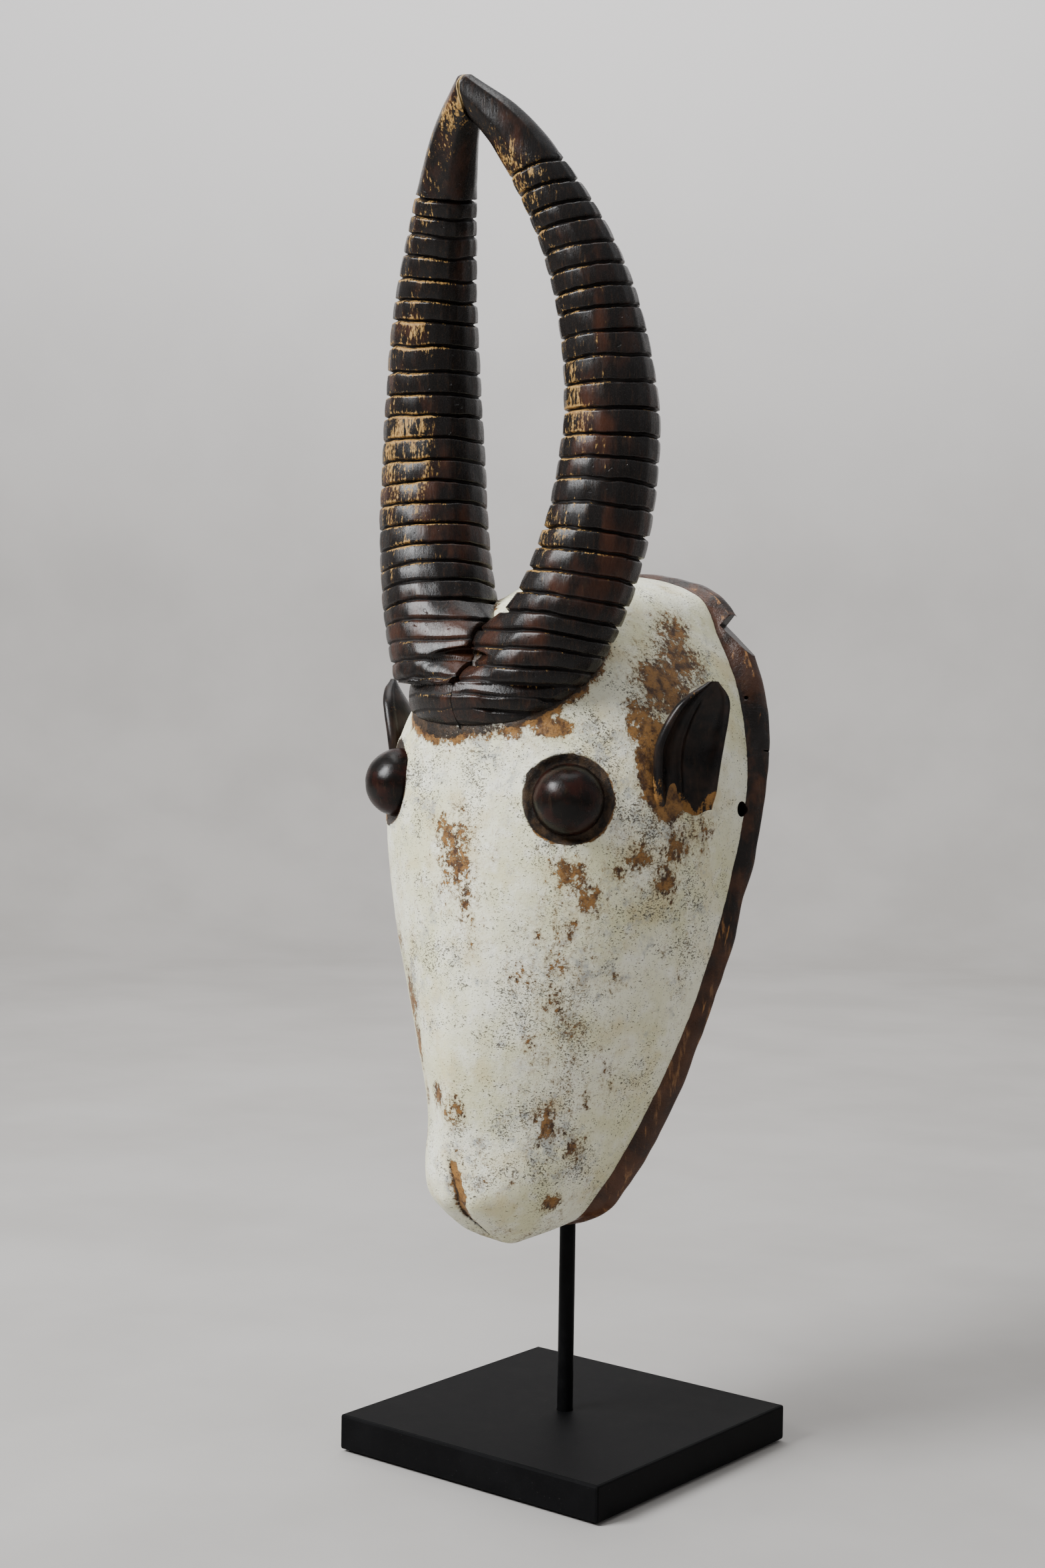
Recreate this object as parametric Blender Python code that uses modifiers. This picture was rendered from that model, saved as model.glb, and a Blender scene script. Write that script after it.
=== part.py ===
"""Carved antelope mask with two ringed horns, standing on a steel rod in a black board.

Metres, +Z up. The origin is the centre of the stand's underside and the face looks along -Y.
The mask lifts off the rod and turns about it; everything else is fixed.
"""

import bpy
import bmesh
from math import cos, pi, radians, sin
from mathutils import Matrix, Vector

MM = 0.001
GAP = 0.3 * MM
WELD = 0.01 * MM
SHARP_EDGE = radians(35)

# Stand
BOARD_SIDE = 200 * MM
BOARD_THICK = 22 * MM
BOARD_EDGE = 1.6 * MM
FELT_THICK = 1.2 * MM
FELT_INSET = 4 * MM
BOARD_UNDER = FELT_THICK + GAP
ROD_R = 5 * MM
ROD_LOW = FELT_THICK + 1 * MM
WELL_R = 13 * MM
WELL_DEPTH = 9 * MM
WASHER_R = 12 * MM
WASHER_THICK = 2 * MM
NUT_FLATS = 17 * MM
NUT_THICK = 5 * MM
ROD_WAY_TOP = 100 * MM

# Crosspiece inside the mask, and the cap of the rod that it rests on
CROSS_Z = 405 * MM
CROSS_HIGH = 40 * MM
CROSS_DEEP = 28 * MM
CROSS_BLANK = 240 * MM
SOCKET_R = 6.6 * MM
SOCKET_TOP = CROSS_Z + 12 * MM
CAP_R = 6.2 * MM
CAP_LONG = 14 * MM
CAP_TOP_THICK = 2 * MM
CAP_CHAMFER = 1 * MM
ROD_TOP = SOCKET_TOP - CAP_TOP_THICK - 2 * GAP
SCREW_LONG = 44 * MM
SCREW_R = 2 * MM
SCREW_HEAD_R = 4 * MM
SCREW_SUNK = 4 * MM
SCREW_CONE = 3 * MM
SCREW_POINT = 4 * MM
SCREW_HOLE_ABOVE = 6 * MM
SCREW_AT = Vector((62 * MM, CROSS_DEEP / 2, CROSS_Z))
SCREW_AIM = Vector((0.80, -0.60, 0.0))

# Head: the opening at the back leans, its rear edge lying in one plane
BACK_Y = -28 * MM
BACK_Z = 140 * MM + BOARD_UNDER
LEAN = 0.232
RIM_DEPTH = 11 * MM
RIM_LAND = 9 * MM
RIM_LEAST = 6 * MM
RIM_RIDGE_IN = 2 * MM
RIM_RIDGE_BACK = 0.35 * RIM_DEPTH
# how far the rim stands out past the paint edge, at each of the head's rows
RIM_FLARE = (-5.0, 0.0, 8.0, 9.0, 7.0, 6.0, 6.5, 12.5, 14.0, 7.5, 5.0)
WALL = 14 * MM
KEEL_RISE = 10 * MM
KEEL_ROWS = 3.0
# height above the board's underside, half width at the paint edge, front, fullness of the section
HEAD_ROWS = (
    (140, 0.0, -62.0, 2.40),
    (148, 30.0, -76.0, 2.80),
    (172, 48.0, -110.5, 2.40),
    (215, 70.0, -115.0, 1.60),
    (275, 92.5, -118.0, 1.68),
    (345, 107.0, -117.5, 2.10),
    (415, 112.0, -114.0, 2.45),
    (470, 98.0, -107.0, 2.10),
    (510, 75.0, -87.0, 1.85),
    (537, 53.0, -48.0, 1.65),
    (549, 0.0, -5.0, 2.00),
)
HEAD_LEVELS = 28
HEAD_TURNS = 28

# Horns: centre line of the mask's left horn, and its radius
HORN_ROWS = (
    (10.0, -96.0, 468.0, 25.0),
    (27.0, -86.5, 480.0, 30.5),
    (47.0, -74.5, 516.0, 33.0),
    (62.0, -65.0, 566.0, 32.0),
    (68.0, -60.0, 620.0, 30.0),
    (67.0, -62.0, 662.0, 27.5),
    (60.0, -69.0, 708.0, 24.0),
    (46.0, -80.0, 750.0, 19.5),
    (22.5, -98.0, 796.0, 14.0),
    (-3.0, -114.0, 824.0, 8.5),
)
HORN_GIRTH = {1: 0.95, -1: 1.05}
HORN_STEPS = 27
HORN_BASE_ROUND = 9 * MM
HORN_TIP_ROUND = 3 * MM
HORN_TIP_SHRINK = 0.6
DOWEL_R = 7 * MM
DOWEL_FROM = Vector((34 * MM, -72 * MM, 482 * MM))
DOWEL_TO = Vector((52 * MM, -73 * MM, 536 * MM))
PIN_R = 1.5 * MM
PIN_HALF = 10.5 * MM
PIN_Y = -109.5 * MM
PIN_Z = 818 * MM
PIN_HOLE_REACH = 30 * MM
DOWEL_HOLE_REACH = 20 * MM

# Eyes and ears
EYE_LEVEL = {1: 5.96, -1: 6.05}
EYE_TURN = radians(55)
EYE_R = 21 * MM
EYE_SOCKET_R = 26.5 * MM
EYE_SOCKET_DEPTH = 5 * MM
EYE_PEG_R = 8 * MM
EYE_PEG_LONG = 13 * MM
EYE_ARC_STEPS = 8
SOCKET_CUT_OUT = 30 * MM
SOCKET_CUT_IN = 40 * MM
# centre of the leaf, its half width and its hollow, from the root up
EAR_ROWS = (
    (109.0, -36.0, 404.5, 16.8, 1.5),
    (111.3, -37.8, 421.5, 18.0, 5.0),
    (113.3, -38.8, 436.5, 19.0, 8.0),
    (115.0, -38.8, 447.0, 19.3, 8.5),
    (119.5, -37.8, 461.5, 17.0, 8.0),
    (123.5, -36.0, 473.0, 12.3, 5.0),
    (125.4, -32.5, 483.0, 1.8, 0.5),
)
EAR_ACROSS = Vector((0.480, 0.877, 0.0))
EAR_THICK = 5 * MM
EAR_STEPS = 14
EAR_COLUMNS = 10
EAR_ROOT = Vector((104.5 * MM, -34 * MM, 430 * MM))
EAR_ROOT_R = 13 * MM
EAR_ROOT_IN = Vector((92 * MM, -31 * MM, 428 * MM))
EAR_ROOT_IN_R = 15 * MM
EAR_PEG_IN = Vector((79 * MM, -27 * MM, 426 * MM))
EAR_PEG_R = 6 * MM

# Holes for the costume's cord, bored through the edge of the face
CORD_HOLE_R = 4 * MM
CORD_HOLE_Z = 407 * MM
CORD_HOLE_FORWARD = 15 * MM
CORD_HOLE_FROM_X = 80 * MM
CORD_HOLE_TO_X = 140 * MM

BLACK_WOOD = (0.012, 0.009, 0.007)
COLOURS = {
    "limed_wood": ((0.66, 0.62, 0.50), 0.75, 0.0),
    "horn_black": (BLACK_WOOD, 0.32, 0.0),
    "ear_black": ((0.016, 0.011, 0.008), 0.35, 0.0),
    "eye_brown": ((0.030, 0.012, 0.008), 0.25, 0.0),
    "raw_wood": ((0.36, 0.22, 0.11), 0.7, 0.0),
    "black_board": ((0.010, 0.010, 0.011), 0.55, 0.0),
    "black_steel": ((0.012, 0.012, 0.012), 0.45, 0.3),
    "zinc": ((0.55, 0.55, 0.52), 0.35, 1.0),
    "felt": ((0.02, 0.02, 0.02), 0.95, 0.0),
    "nylon": ((0.65, 0.64, 0.60), 0.5, 0.0),
}


def new_collection(name, hidden):
    collection = bpy.data.collections.new(name)
    bpy.context.scene.collection.children.link(collection)
    collection.hide_render = hidden
    return collection


for old in list(bpy.data.objects):
    bpy.data.objects.remove(old, do_unlink=True)
PARTS = new_collection("antelope_mask", False)
CUTTERS = new_collection("cutters", True)


def material(name):
    """The material of one finish, made once."""
    found = bpy.data.materials.get(name)
    if found:
        return found
    colour, roughness, metallic = COLOURS[name]
    made = bpy.data.materials.new(name)
    made.use_nodes = True
    shader = made.node_tree.nodes["Principled BSDF"]
    shader.inputs["Base Color"].default_value = (*colour, 1.0)
    shader.inputs["Roughness"].default_value = roughness
    shader.inputs["Metallic"].default_value = metallic
    return made


def as_object(name, bm, finish):
    """A mesh object from a bmesh: a part with its finish, or a hidden cutter when finish is None."""
    bmesh.ops.recalc_face_normals(bm, faces=bm.faces)
    mesh = bpy.data.meshes.new(name)
    bm.to_mesh(mesh)
    bm.free()
    made = bpy.data.objects.new(name, mesh)
    if finish:
        mesh.materials.append(material(finish))
        mesh.shade_smooth()
        mesh.set_sharp_from_angle(angle=SHARP_EDGE)
        PARTS.objects.link(made)
    else:
        made.hide_render = True
        made.display_type = "WIRE"
        CUTTERS.objects.link(made)
    return made


def boolean(target, tool, operation):
    modifier = target.modifiers.new(operation.lower(), "BOOLEAN")
    modifier.operation = operation
    modifier.object = tool


def cylinder(name, start, end, radius, finish, end_radius=None, sides=20):
    """A round bar, or a cone when end_radius is given, from one point to another."""
    along = end - start
    bm = bmesh.new()
    bmesh.ops.create_cone(
        bm, cap_ends=True, segments=sides, radius1=radius,
        radius2=radius if end_radius is None else end_radius, depth=along.length,
    )
    bm.transform(Matrix.Translation((0, 0, along.length / 2)))
    made = as_object(name, bm, finish)
    made.matrix_world = Matrix.Translation(start) @ along.to_track_quat("Z", "Y").to_matrix().to_4x4()
    return made


def post(name, low, high, radius, finish, sides):
    """An upright round bar on the stand's axis."""
    return cylinder(name, Vector((0, 0, low)), Vector((0, 0, high)), radius, finish, sides=sides)


def box(name, size, centre, finish):
    bm = bmesh.new()
    bmesh.ops.create_cube(bm, size=1)
    bmesh.ops.scale(bm, vec=size, verts=bm.verts)
    made = as_object(name, bm, finish)
    made.location = centre
    return made


def turned(name, profile, finish, sides=24):
    """A turned piece: (radius, height) pairs run down its outer side, from the top to the bottom."""
    bm = bmesh.new()
    points = [bm.verts.new((radius, 0, height)) for radius, height in profile]
    for upper, lower in zip(points, points[1:]):
        bm.edges.new((upper, lower))
    made = as_object(name, bm, finish)
    screw = made.modifiers.new("turn", "SCREW")
    screw.axis = "Z"
    screw.steps = sides
    screw.render_steps = sides
    screw.use_merge_vertices = True
    screw.merge_threshold = WELD
    screw.use_smooth_shade = True
    return made


def spline(rows, at):
    """A smooth curve through the rows: at is 0 on the first row, 1 on the second, and so on.
    The first and last of rows only steer the ends."""
    first = min(int(at), len(rows) - 4)
    u = at - first
    before, start, end, after = rows[first:first + 4]
    return [
        0.5 * (2 * b + (c - a) * u + (2 * a - 5 * b + 4 * c - d) * u * u + (3 * b - a - 3 * c + d) * u ** 3)
        for a, b, c, d in zip(before, start, end, after)
    ]


def steered(rows):
    """Adds a straight-on row at each end."""
    first = [2 * a - b for a, b in zip(rows[0], rows[1])]
    last = [2 * a - b for a, b in zip(rows[-1], rows[-2])]
    return [first, *rows, last]


def rounded_over(rows):
    """Adds the mirrored rows that close the head smoothly over its lowest and highest points."""
    ends = []
    for end, inner in ((rows[0], rows[1]), (rows[-1], rows[-2])):
        ends.append((inner[0], -inner[1], 2 * end[2] - inner[2], inner[3]))
    return [ends[0], *rows, ends[1]]


HEAD_SPLINE = rounded_over(HEAD_ROWS)
BACK_NORMAL = Vector((0, 1, -LEAN)).normalized()


def head_point(level, turn):
    """A point of the painted face: level runs up the head, turn from its left edge to its right."""
    height, half_width, front, fullness = spline(HEAD_SPLINE, level)
    height = height * MM + BOARD_UNDER
    edge = BACK_Y - RIM_DEPTH + LEAN * (height - BACK_Z)
    across, forward = cos(turn), sin(turn)
    reach = (abs(across) ** fullness + abs(forward) ** fullness) ** (-1 / fullness)
    rise = KEEL_RISE * max(0.0, 1 - level / KEEL_ROWS) ** 2 * (1 - forward * reach)
    return Vector((
        half_width * MM * across * reach,
        edge - (edge - front * MM) * forward * reach,
        height + rise,
    ))


def head_frame(level, turn):
    """The surface's point and a frame there whose Z axis points out of the face."""
    step = 0.01
    point = head_point(level, turn)
    up = head_point(level + step, turn) - head_point(level - step, turn)
    round_left = head_point(level, turn - step) - head_point(level, turn + step)
    out = round_left.cross(up).normalized()
    side = Vector((0, 0, 1)).cross(out).normalized()
    frame = Matrix((side, out.cross(side), out)).transposed().to_4x4()
    return Matrix.Translation(point) @ frame


def head_sheet():
    """The painted face as one open sheet, its faces looking out."""
    bm = bmesh.new()
    top = len(HEAD_ROWS) - 1
    rows = []
    for i in range(HEAD_LEVELS + 1):
        level = top * i / HEAD_LEVELS
        rows.append([bm.verts.new(head_point(level, pi * j / HEAD_TURNS)) for j in range(HEAD_TURNS + 1)])
    for low, high in zip(rows, rows[1:]):
        for j in range(HEAD_TURNS):
            bm.faces.new((low[j + 1], low[j], high[j], high[j + 1]))
    bmesh.ops.remove_doubles(bm, verts=bm.verts, dist=WELD)
    bmesh.ops.dissolve_degenerate(bm, dist=WELD / 10, edges=bm.edges)
    bm.normal_update()
    return bm


def sheet_edge(bm):
    """The open edge's vertices, each with the way out of the opening in the opening's plane."""
    middle = Vector((0, 0, sum(v.co.z for v in bm.verts) / len(bm.verts)))
    ways = {}
    for vertex in [v for v in bm.verts if v.is_boundary]:
        ends = [edge.other_vert(vertex).co for edge in vertex.link_edges if edge.is_boundary]
        way = (ends[1] - ends[0]).cross(BACK_NORMAL).normalized()
        if way.dot(vertex.co - middle) < 0:
            way.negate()
        ways[vertex] = way
    return ways


def rim_flare(height):
    """How far the rim stands out at a height above the floor."""
    rows = [[row[0] * MM + BOARD_UNDER, flare * MM] for row, flare in zip(HEAD_ROWS, RIM_FLARE)]
    for (low, start), (high, end) in zip(rows, rows[1:]):
        if height < high:
            share = max(0.0, (height - low) / (high - low))
            return start + (end - start) * share * share * (3 - 2 * share)
    return rows[-1][1]


def rim_rows(height):
    """The rim's corners past the paint edge, each a distance outwards and a distance back."""
    flare = rim_flare(height)
    ridge = (flare - RIM_RIDGE_IN, RIM_RIDGE_BACK)
    inside = (min(-RIM_LAND, flare - RIM_LEAST), RIM_DEPTH)
    return ridge, (flare, RIM_DEPTH), inside


def close_sheet(bm, depth):
    """Makes the sheet a solid wall: its inner side lies depth under it, and the edge becomes the rim."""
    ways = sheet_edge(bm)
    faces = list(bm.faces)
    edges = [edge for edge in bm.edges if edge.is_boundary]
    inner = {v: bm.verts.new(v.co - v.normal * depth) for v in list(bm.verts)}
    chains = {}
    for vertex, way in ways.items():
        corners = rim_rows(vertex.co.z)
        chain = [bm.verts.new(vertex.co + way * out + BACK_NORMAL * back) for out, back in corners]
        chains[vertex] = [vertex, *chain, inner[vertex]]
    for face in faces:
        bm.faces.new([inner[v] for v in reversed(face.verts)])
    for edge in edges:
        a, b = edge.verts
        for k in range(len(chains[a]) - 1):
            bm.faces.new((chains[a][k], chains[b][k], chains[b][k + 1], chains[a][k + 1]))


def head_solid(name, grow):
    """The space that the head fills, grown or shrunk, as a cutter: closed straight across the back."""
    bm = head_sheet()
    ways = sheet_edge(bm)
    moved = {v: v.co + v.normal * grow for v in bm.verts}
    for vertex, way in ways.items():
        moved[vertex] = vertex.co + way * grow + BACK_NORMAL * RIM_DEPTH
    border = [edge for edge in bm.edges if edge.is_boundary]
    for vertex, place in moved.items():
        vertex.co = place
    bmesh.ops.edgeloop_fill(bm, edges=border)
    bmesh.ops.triangulate(bm, faces=bm.faces)
    return as_object(name, bm, None)


def make_stand():
    felt_side = BOARD_SIDE - 2 * FELT_INSET
    box("base_felt", (felt_side, felt_side, FELT_THICK), (0, 0, FELT_THICK / 2), "felt")
    board_centre = (0, 0, BOARD_UNDER + BOARD_THICK / 2)
    board = box("base_board", (BOARD_SIDE, BOARD_SIDE, BOARD_THICK), board_centre, "black_board")
    bevel = board.modifiers.new("edges", "BEVEL")
    bevel.width = BOARD_EDGE
    bevel.segments = 2
    well_top = BOARD_UNDER + WELL_DEPTH
    boolean(board, post("well", 0, well_top, WELL_R, None, 32), "DIFFERENCE")
    way = post("rod_way", 0, ROD_WAY_TOP, ROD_R + GAP, None, 24)
    boolean(board, way, "DIFFERENCE")
    post("support_rod", ROD_LOW, ROD_TOP, ROD_R, "black_steel", 24)
    washer_top = well_top - GAP
    washer_low = washer_top - WASHER_THICK
    boolean(post("rod_washer", washer_low, washer_top, WASHER_R, "zinc", 32), way, "DIFFERENCE")
    nut_top = washer_low - GAP
    nut_r = NUT_FLATS / 2 / cos(pi / 6)
    boolean(post("rod_nut", nut_top - NUT_THICK, nut_top, nut_r, "zinc", 6), way, "DIFFERENCE")


def make_cap():
    """A nylon cap that covers the end of the rod, and turns on it."""
    inside = ROD_R + GAP
    low = -CAP_LONG
    ceiling = -CAP_TOP_THICK
    outside = ((0, 0), (CAP_R - CAP_CHAMFER, 0), (CAP_R, -CAP_CHAMFER), (CAP_R, low))
    profile = (*outside, (inside, low), (inside, ceiling), (0, ceiling))
    cap = turned("rod_cap", profile, "nylon")
    cap.location = (0, 0, SOCKET_TOP - GAP)


def make_shell():
    bm = head_sheet()
    close_sheet(bm, WALL)
    return as_object("mask_shell", bm, "limed_wood")


def make_crosspiece(shell):
    """The bar that the mask rests on, cut to the inside of the head, and its two screws."""
    bar = box("crosspiece", (CROSS_BLANK, CROSS_DEEP, CROSS_HIGH), (0, 0, CROSS_Z), "raw_wood")
    boolean(bar, head_solid("head_inside", -WALL - GAP), "INTERSECT")
    boolean(bar, post("socket", CROSS_Z - CROSS_HIGH, SOCKET_TOP, SOCKET_R, None, 24), "DIFFERENCE")
    for side, word in ((1, "left"), (-1, "right")):
        frame = Matrix.Translation((SCREW_AT.x * side, SCREW_AT.y, SCREW_AT.z))
        aim = Vector((-SCREW_AIM.x * side, -SCREW_AIM.y, 0))
        frame = frame @ aim.to_track_quat("Z", "Y").to_matrix().to_4x4()
        hole = turned("screw_hole_" + word, screw_profile(GAP, SCREW_HOLE_ABOVE), None, sides=12)
        screw = turned("crosspiece_screw_" + word, screw_profile(0, 0), "zinc", sides=12)
        hole.matrix_world = frame
        screw.matrix_world = frame
        boolean(bar, hole, "DIFFERENCE")
        boolean(shell, hole, "DIFFERENCE")


def screw_profile(grow, above):
    """A countersunk screw whose head lies under the local origin; above opens its hole upwards."""
    head = -SCREW_SUNK
    return (
        (0, head + above + grow),
        (SCREW_HEAD_R + grow, head + above + grow),
        (SCREW_HEAD_R + grow, head),
        (SCREW_R + grow, head - SCREW_CONE),
        (SCREW_R + grow, SCREW_POINT - SCREW_LONG),
        (0, -SCREW_LONG - grow),
    )


def horn_line():
    """Points of the horn's centre line with their radii, both ends rounded over."""
    rows = steered(HORN_ROWS)
    top = len(HORN_ROWS) - 1
    raised = Vector((0, 0, BOARD_UNDER))
    places = []
    for i in range(HORN_STEPS + 1):
        x, y, z, radius = [value * MM for value in spline(rows, top * i / HORN_STEPS)]
        places.append((Vector((x, y, z)) + raised, radius))
    down = (places[0][0] - places[1][0]).normalized()
    on = (places[-1][0] - places[-2][0]).normalized()
    base = [
        (places[0][0] + down * HORN_BASE_ROUND * sin(angle), places[0][1] * cos(angle))
        for angle in (radians(78), radians(54), radians(27))
    ]
    tip = [(places[-1][0] + on * HORN_TIP_ROUND, places[-1][1] * HORN_TIP_SHRINK)]
    return base + places + tip


def make_horn(side, word, head_cutter, dowel_hole, pin_hole):
    """One horn: a tapered sweep, flat where it meets the other horn and hollowed to sit on the head."""
    curve = bpy.data.curves.new("horn_sweep", "CURVE")
    curve.dimensions = "3D"
    curve.bevel_depth = 1.0
    curve.bevel_resolution = 6
    curve.use_fill_caps = True
    line = horn_line()
    path = curve.splines.new("POLY")
    path.points.add(len(line) - 1)
    for point, (place, radius) in zip(path.points, line):
        point.co = (place.x * side, place.y, place.z, 1)
        point.radius = radius * HORN_GIRTH[side]
    guide = bpy.data.objects.new("horn_sweep", curve)
    CUTTERS.objects.link(guide)
    bpy.context.view_layer.update()
    swept = bpy.data.meshes.new_from_object(guide.evaluated_get(bpy.context.evaluated_depsgraph_get()))
    bm = bmesh.new()
    bm.from_mesh(swept)
    bpy.data.objects.remove(guide, do_unlink=True)
    bmesh.ops.remove_doubles(bm, verts=bm.verts, dist=WELD)
    geometry = bm.verts[:] + bm.edges[:] + bm.faces[:]
    cut = bmesh.ops.bisect_plane(
        bm, geom=geometry, plane_co=(side * GAP / 2, 0, 0), plane_no=(-side, 0, 0), clear_outer=True,
    )
    bmesh.ops.holes_fill(bm, edges=[e for e in cut["geom_cut"] if isinstance(e, bmesh.types.BMEdge)])
    bmesh.ops.triangulate(bm, faces=[face for face in bm.faces if len(face.verts) > 4])
    horn = as_object("horn_" + word, bm, "horn_black")
    boolean(horn, head_cutter, "DIFFERENCE")
    boolean(horn, dowel_hole, "DIFFERENCE")
    boolean(horn, pin_hole, "DIFFERENCE")


def mirrored(point, side):
    return Vector((point.x * side, point.y, point.z))


def make_horns(shell, head_cutter):
    pin_reach = Vector((PIN_HOLE_REACH, 0, 0))
    centre = Vector((0, PIN_Y, PIN_Z))
    pin_hole = cylinder("pin_hole", centre - pin_reach, centre + pin_reach, PIN_R + GAP, None, sides=12)
    half = Vector((PIN_HALF, 0, 0))
    cylinder("tip_pin", centre - half, centre + half, PIN_R, "zinc", sides=12)
    along = (DOWEL_TO - DOWEL_FROM).normalized()
    for side, word in ((1, "left"), (-1, "right")):
        start = mirrored(DOWEL_FROM, side)
        end = mirrored(DOWEL_TO, side)
        cylinder("horn_dowel_" + word, start, end, DOWEL_R, "raw_wood", sides=16)
        hole_from = mirrored(DOWEL_FROM - along * DOWEL_HOLE_REACH, side)
        hole_to = mirrored(DOWEL_TO + along * 2 * GAP, side)
        hole = cylinder("dowel_hole_" + word, hole_from, hole_to, DOWEL_R + GAP, None, sides=16)
        boolean(shell, hole, "DIFFERENCE")
        make_horn(side, word, head_cutter, hole, pin_hole)


def make_eyes(shell):
    """Each eye is a turned dome with a peg, let into a round socket in the face."""
    floor = -EYE_SOCKET_DEPTH
    seat = floor + GAP
    arc = []
    for i in range(EYE_ARC_STEPS + 1):
        angle = pi / 2 * i / EYE_ARC_STEPS
        arc.append((EYE_R * sin(angle), seat + EYE_R * cos(angle)))
    dome = (*arc, (EYE_PEG_R, seat), (EYE_PEG_R, seat - EYE_PEG_LONG), (0, seat - EYE_PEG_LONG))
    hole = EYE_PEG_R + GAP
    pocket = (
        (0, SOCKET_CUT_OUT), (EYE_SOCKET_R, SOCKET_CUT_OUT), (EYE_SOCKET_R, floor),
        (hole, floor), (hole, -SOCKET_CUT_IN), (0, -SOCKET_CUT_IN),
    )
    for side, turn, word in ((1, EYE_TURN, "left"), (-1, pi - EYE_TURN, "right")):
        frame = head_frame(EYE_LEVEL[side], turn)
        eye = turned("eye_" + word, dome, "eye_brown", sides=28)
        socket = turned("eye_socket_" + word, pocket, None, sides=28)
        eye.matrix_world = frame
        socket.matrix_world = frame
        boolean(shell, socket, "DIFFERENCE")


def ear_leaf(name, side):
    """The cupped leaf of an ear, from a bent open sheet made thick."""
    rows = steered(EAR_ROWS)
    top = len(EAR_ROWS) - 1
    inward = Vector((-EAR_ACROSS.y, EAR_ACROSS.x, 0))
    bm = bmesh.new()
    grid = []
    for i in range(EAR_STEPS + 1):
        x, y, z, half, hollow = [value * MM for value in spline(rows, top * i / EAR_STEPS)]
        line = []
        for j in range(EAR_COLUMNS + 1):
            v = 2 * j / EAR_COLUMNS - 1
            point = Vector((x, y, z)) + EAR_ACROSS * half * v + inward * hollow * (1 - v * v)
            line.append(bm.verts.new(mirrored(point, side)))
        grid.append(line)
    for low, high in zip(grid, grid[1:]):
        for j in range(EAR_COLUMNS):
            order = (low[j], low[j + 1], high[j + 1], high[j])
            bm.faces.new(order if side > 0 else tuple(reversed(order)))
    mesh = bpy.data.meshes.new(name)
    bm.to_mesh(mesh)
    bm.free()
    leaf = bpy.data.objects.new(name, mesh)
    mesh.materials.append(material("ear_black"))
    mesh.shade_smooth()
    PARTS.objects.link(leaf)
    thick = leaf.modifiers.new("thick", "SOLIDIFY")
    thick.thickness = EAR_THICK
    thick.offset = -1
    thick.use_even_offset = True
    return leaf


def make_ears(shell, head_cutter):
    for side, word in ((1, "left"), (-1, "right")):
        ear = ear_leaf("ear_" + word, side)
        outer = mirrored(EAR_ROOT, side)
        inner = mirrored(EAR_ROOT_IN, side)
        peg = mirrored(EAR_PEG_IN, side)
        beyond = peg + (peg - outer)
        boolean(ear, cylinder("ear_root_" + word, outer, inner, EAR_ROOT_R, None, EAR_ROOT_IN_R), "UNION")
        boolean(ear, head_cutter, "DIFFERENCE")
        boolean(ear, cylinder("ear_peg_" + word, outer, peg, EAR_PEG_R, None, sides=16), "UNION")
        hole = cylinder("ear_hole_" + word, outer, beyond, EAR_PEG_R + GAP, None, sides=16)
        boolean(shell, hole, "DIFFERENCE")


def bore_cord_holes(shell):
    back = BACK_Y + LEAN * (CORD_HOLE_Z - BACK_Z)
    centre_y = back - CORD_HOLE_FORWARD
    for side, word in ((1, "left"), (-1, "right")):
        start = Vector((side * CORD_HOLE_FROM_X, centre_y, CORD_HOLE_Z))
        end = Vector((side * CORD_HOLE_TO_X, centre_y, CORD_HOLE_Z))
        boolean(shell, cylinder("cord_hole_" + word, start, end, CORD_HOLE_R, None, sides=16), "DIFFERENCE")


def main():
    make_stand()
    make_cap()
    shell = make_shell()
    head_cutter = head_solid("head_outside", 2 * GAP)
    make_horns(shell, head_cutter)
    make_eyes(shell)
    make_ears(shell, head_cutter)
    bore_cord_holes(shell)
    make_crosspiece(shell)


main()
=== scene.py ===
"""Looks of the carved antelope mask: painted face, ringed horns, ears, eyes and stand.

Metres, +Z up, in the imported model's frame: the face looks along -Y and +X is the mask's own left.
Arrays named ..._mm and the rows of the driving tables are in millimetres.
"""

from math import cos, pi, radians, sin

import bmesh
import bpy
import numpy as np
from mathutils import Matrix, Vector


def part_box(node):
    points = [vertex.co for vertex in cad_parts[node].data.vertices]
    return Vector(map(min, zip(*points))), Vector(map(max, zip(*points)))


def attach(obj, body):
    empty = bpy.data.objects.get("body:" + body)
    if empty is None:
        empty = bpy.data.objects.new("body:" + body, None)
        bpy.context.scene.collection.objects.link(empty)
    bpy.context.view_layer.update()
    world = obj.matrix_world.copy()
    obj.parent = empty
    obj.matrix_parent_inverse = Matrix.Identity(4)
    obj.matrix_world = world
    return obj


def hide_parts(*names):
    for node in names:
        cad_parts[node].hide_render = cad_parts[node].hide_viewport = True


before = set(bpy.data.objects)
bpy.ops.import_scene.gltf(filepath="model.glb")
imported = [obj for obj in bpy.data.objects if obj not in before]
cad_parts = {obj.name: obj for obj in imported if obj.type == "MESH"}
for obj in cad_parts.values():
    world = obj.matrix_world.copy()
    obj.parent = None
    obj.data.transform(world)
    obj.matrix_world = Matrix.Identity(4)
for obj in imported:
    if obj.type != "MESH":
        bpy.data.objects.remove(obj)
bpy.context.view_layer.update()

MM = 0.001

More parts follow.
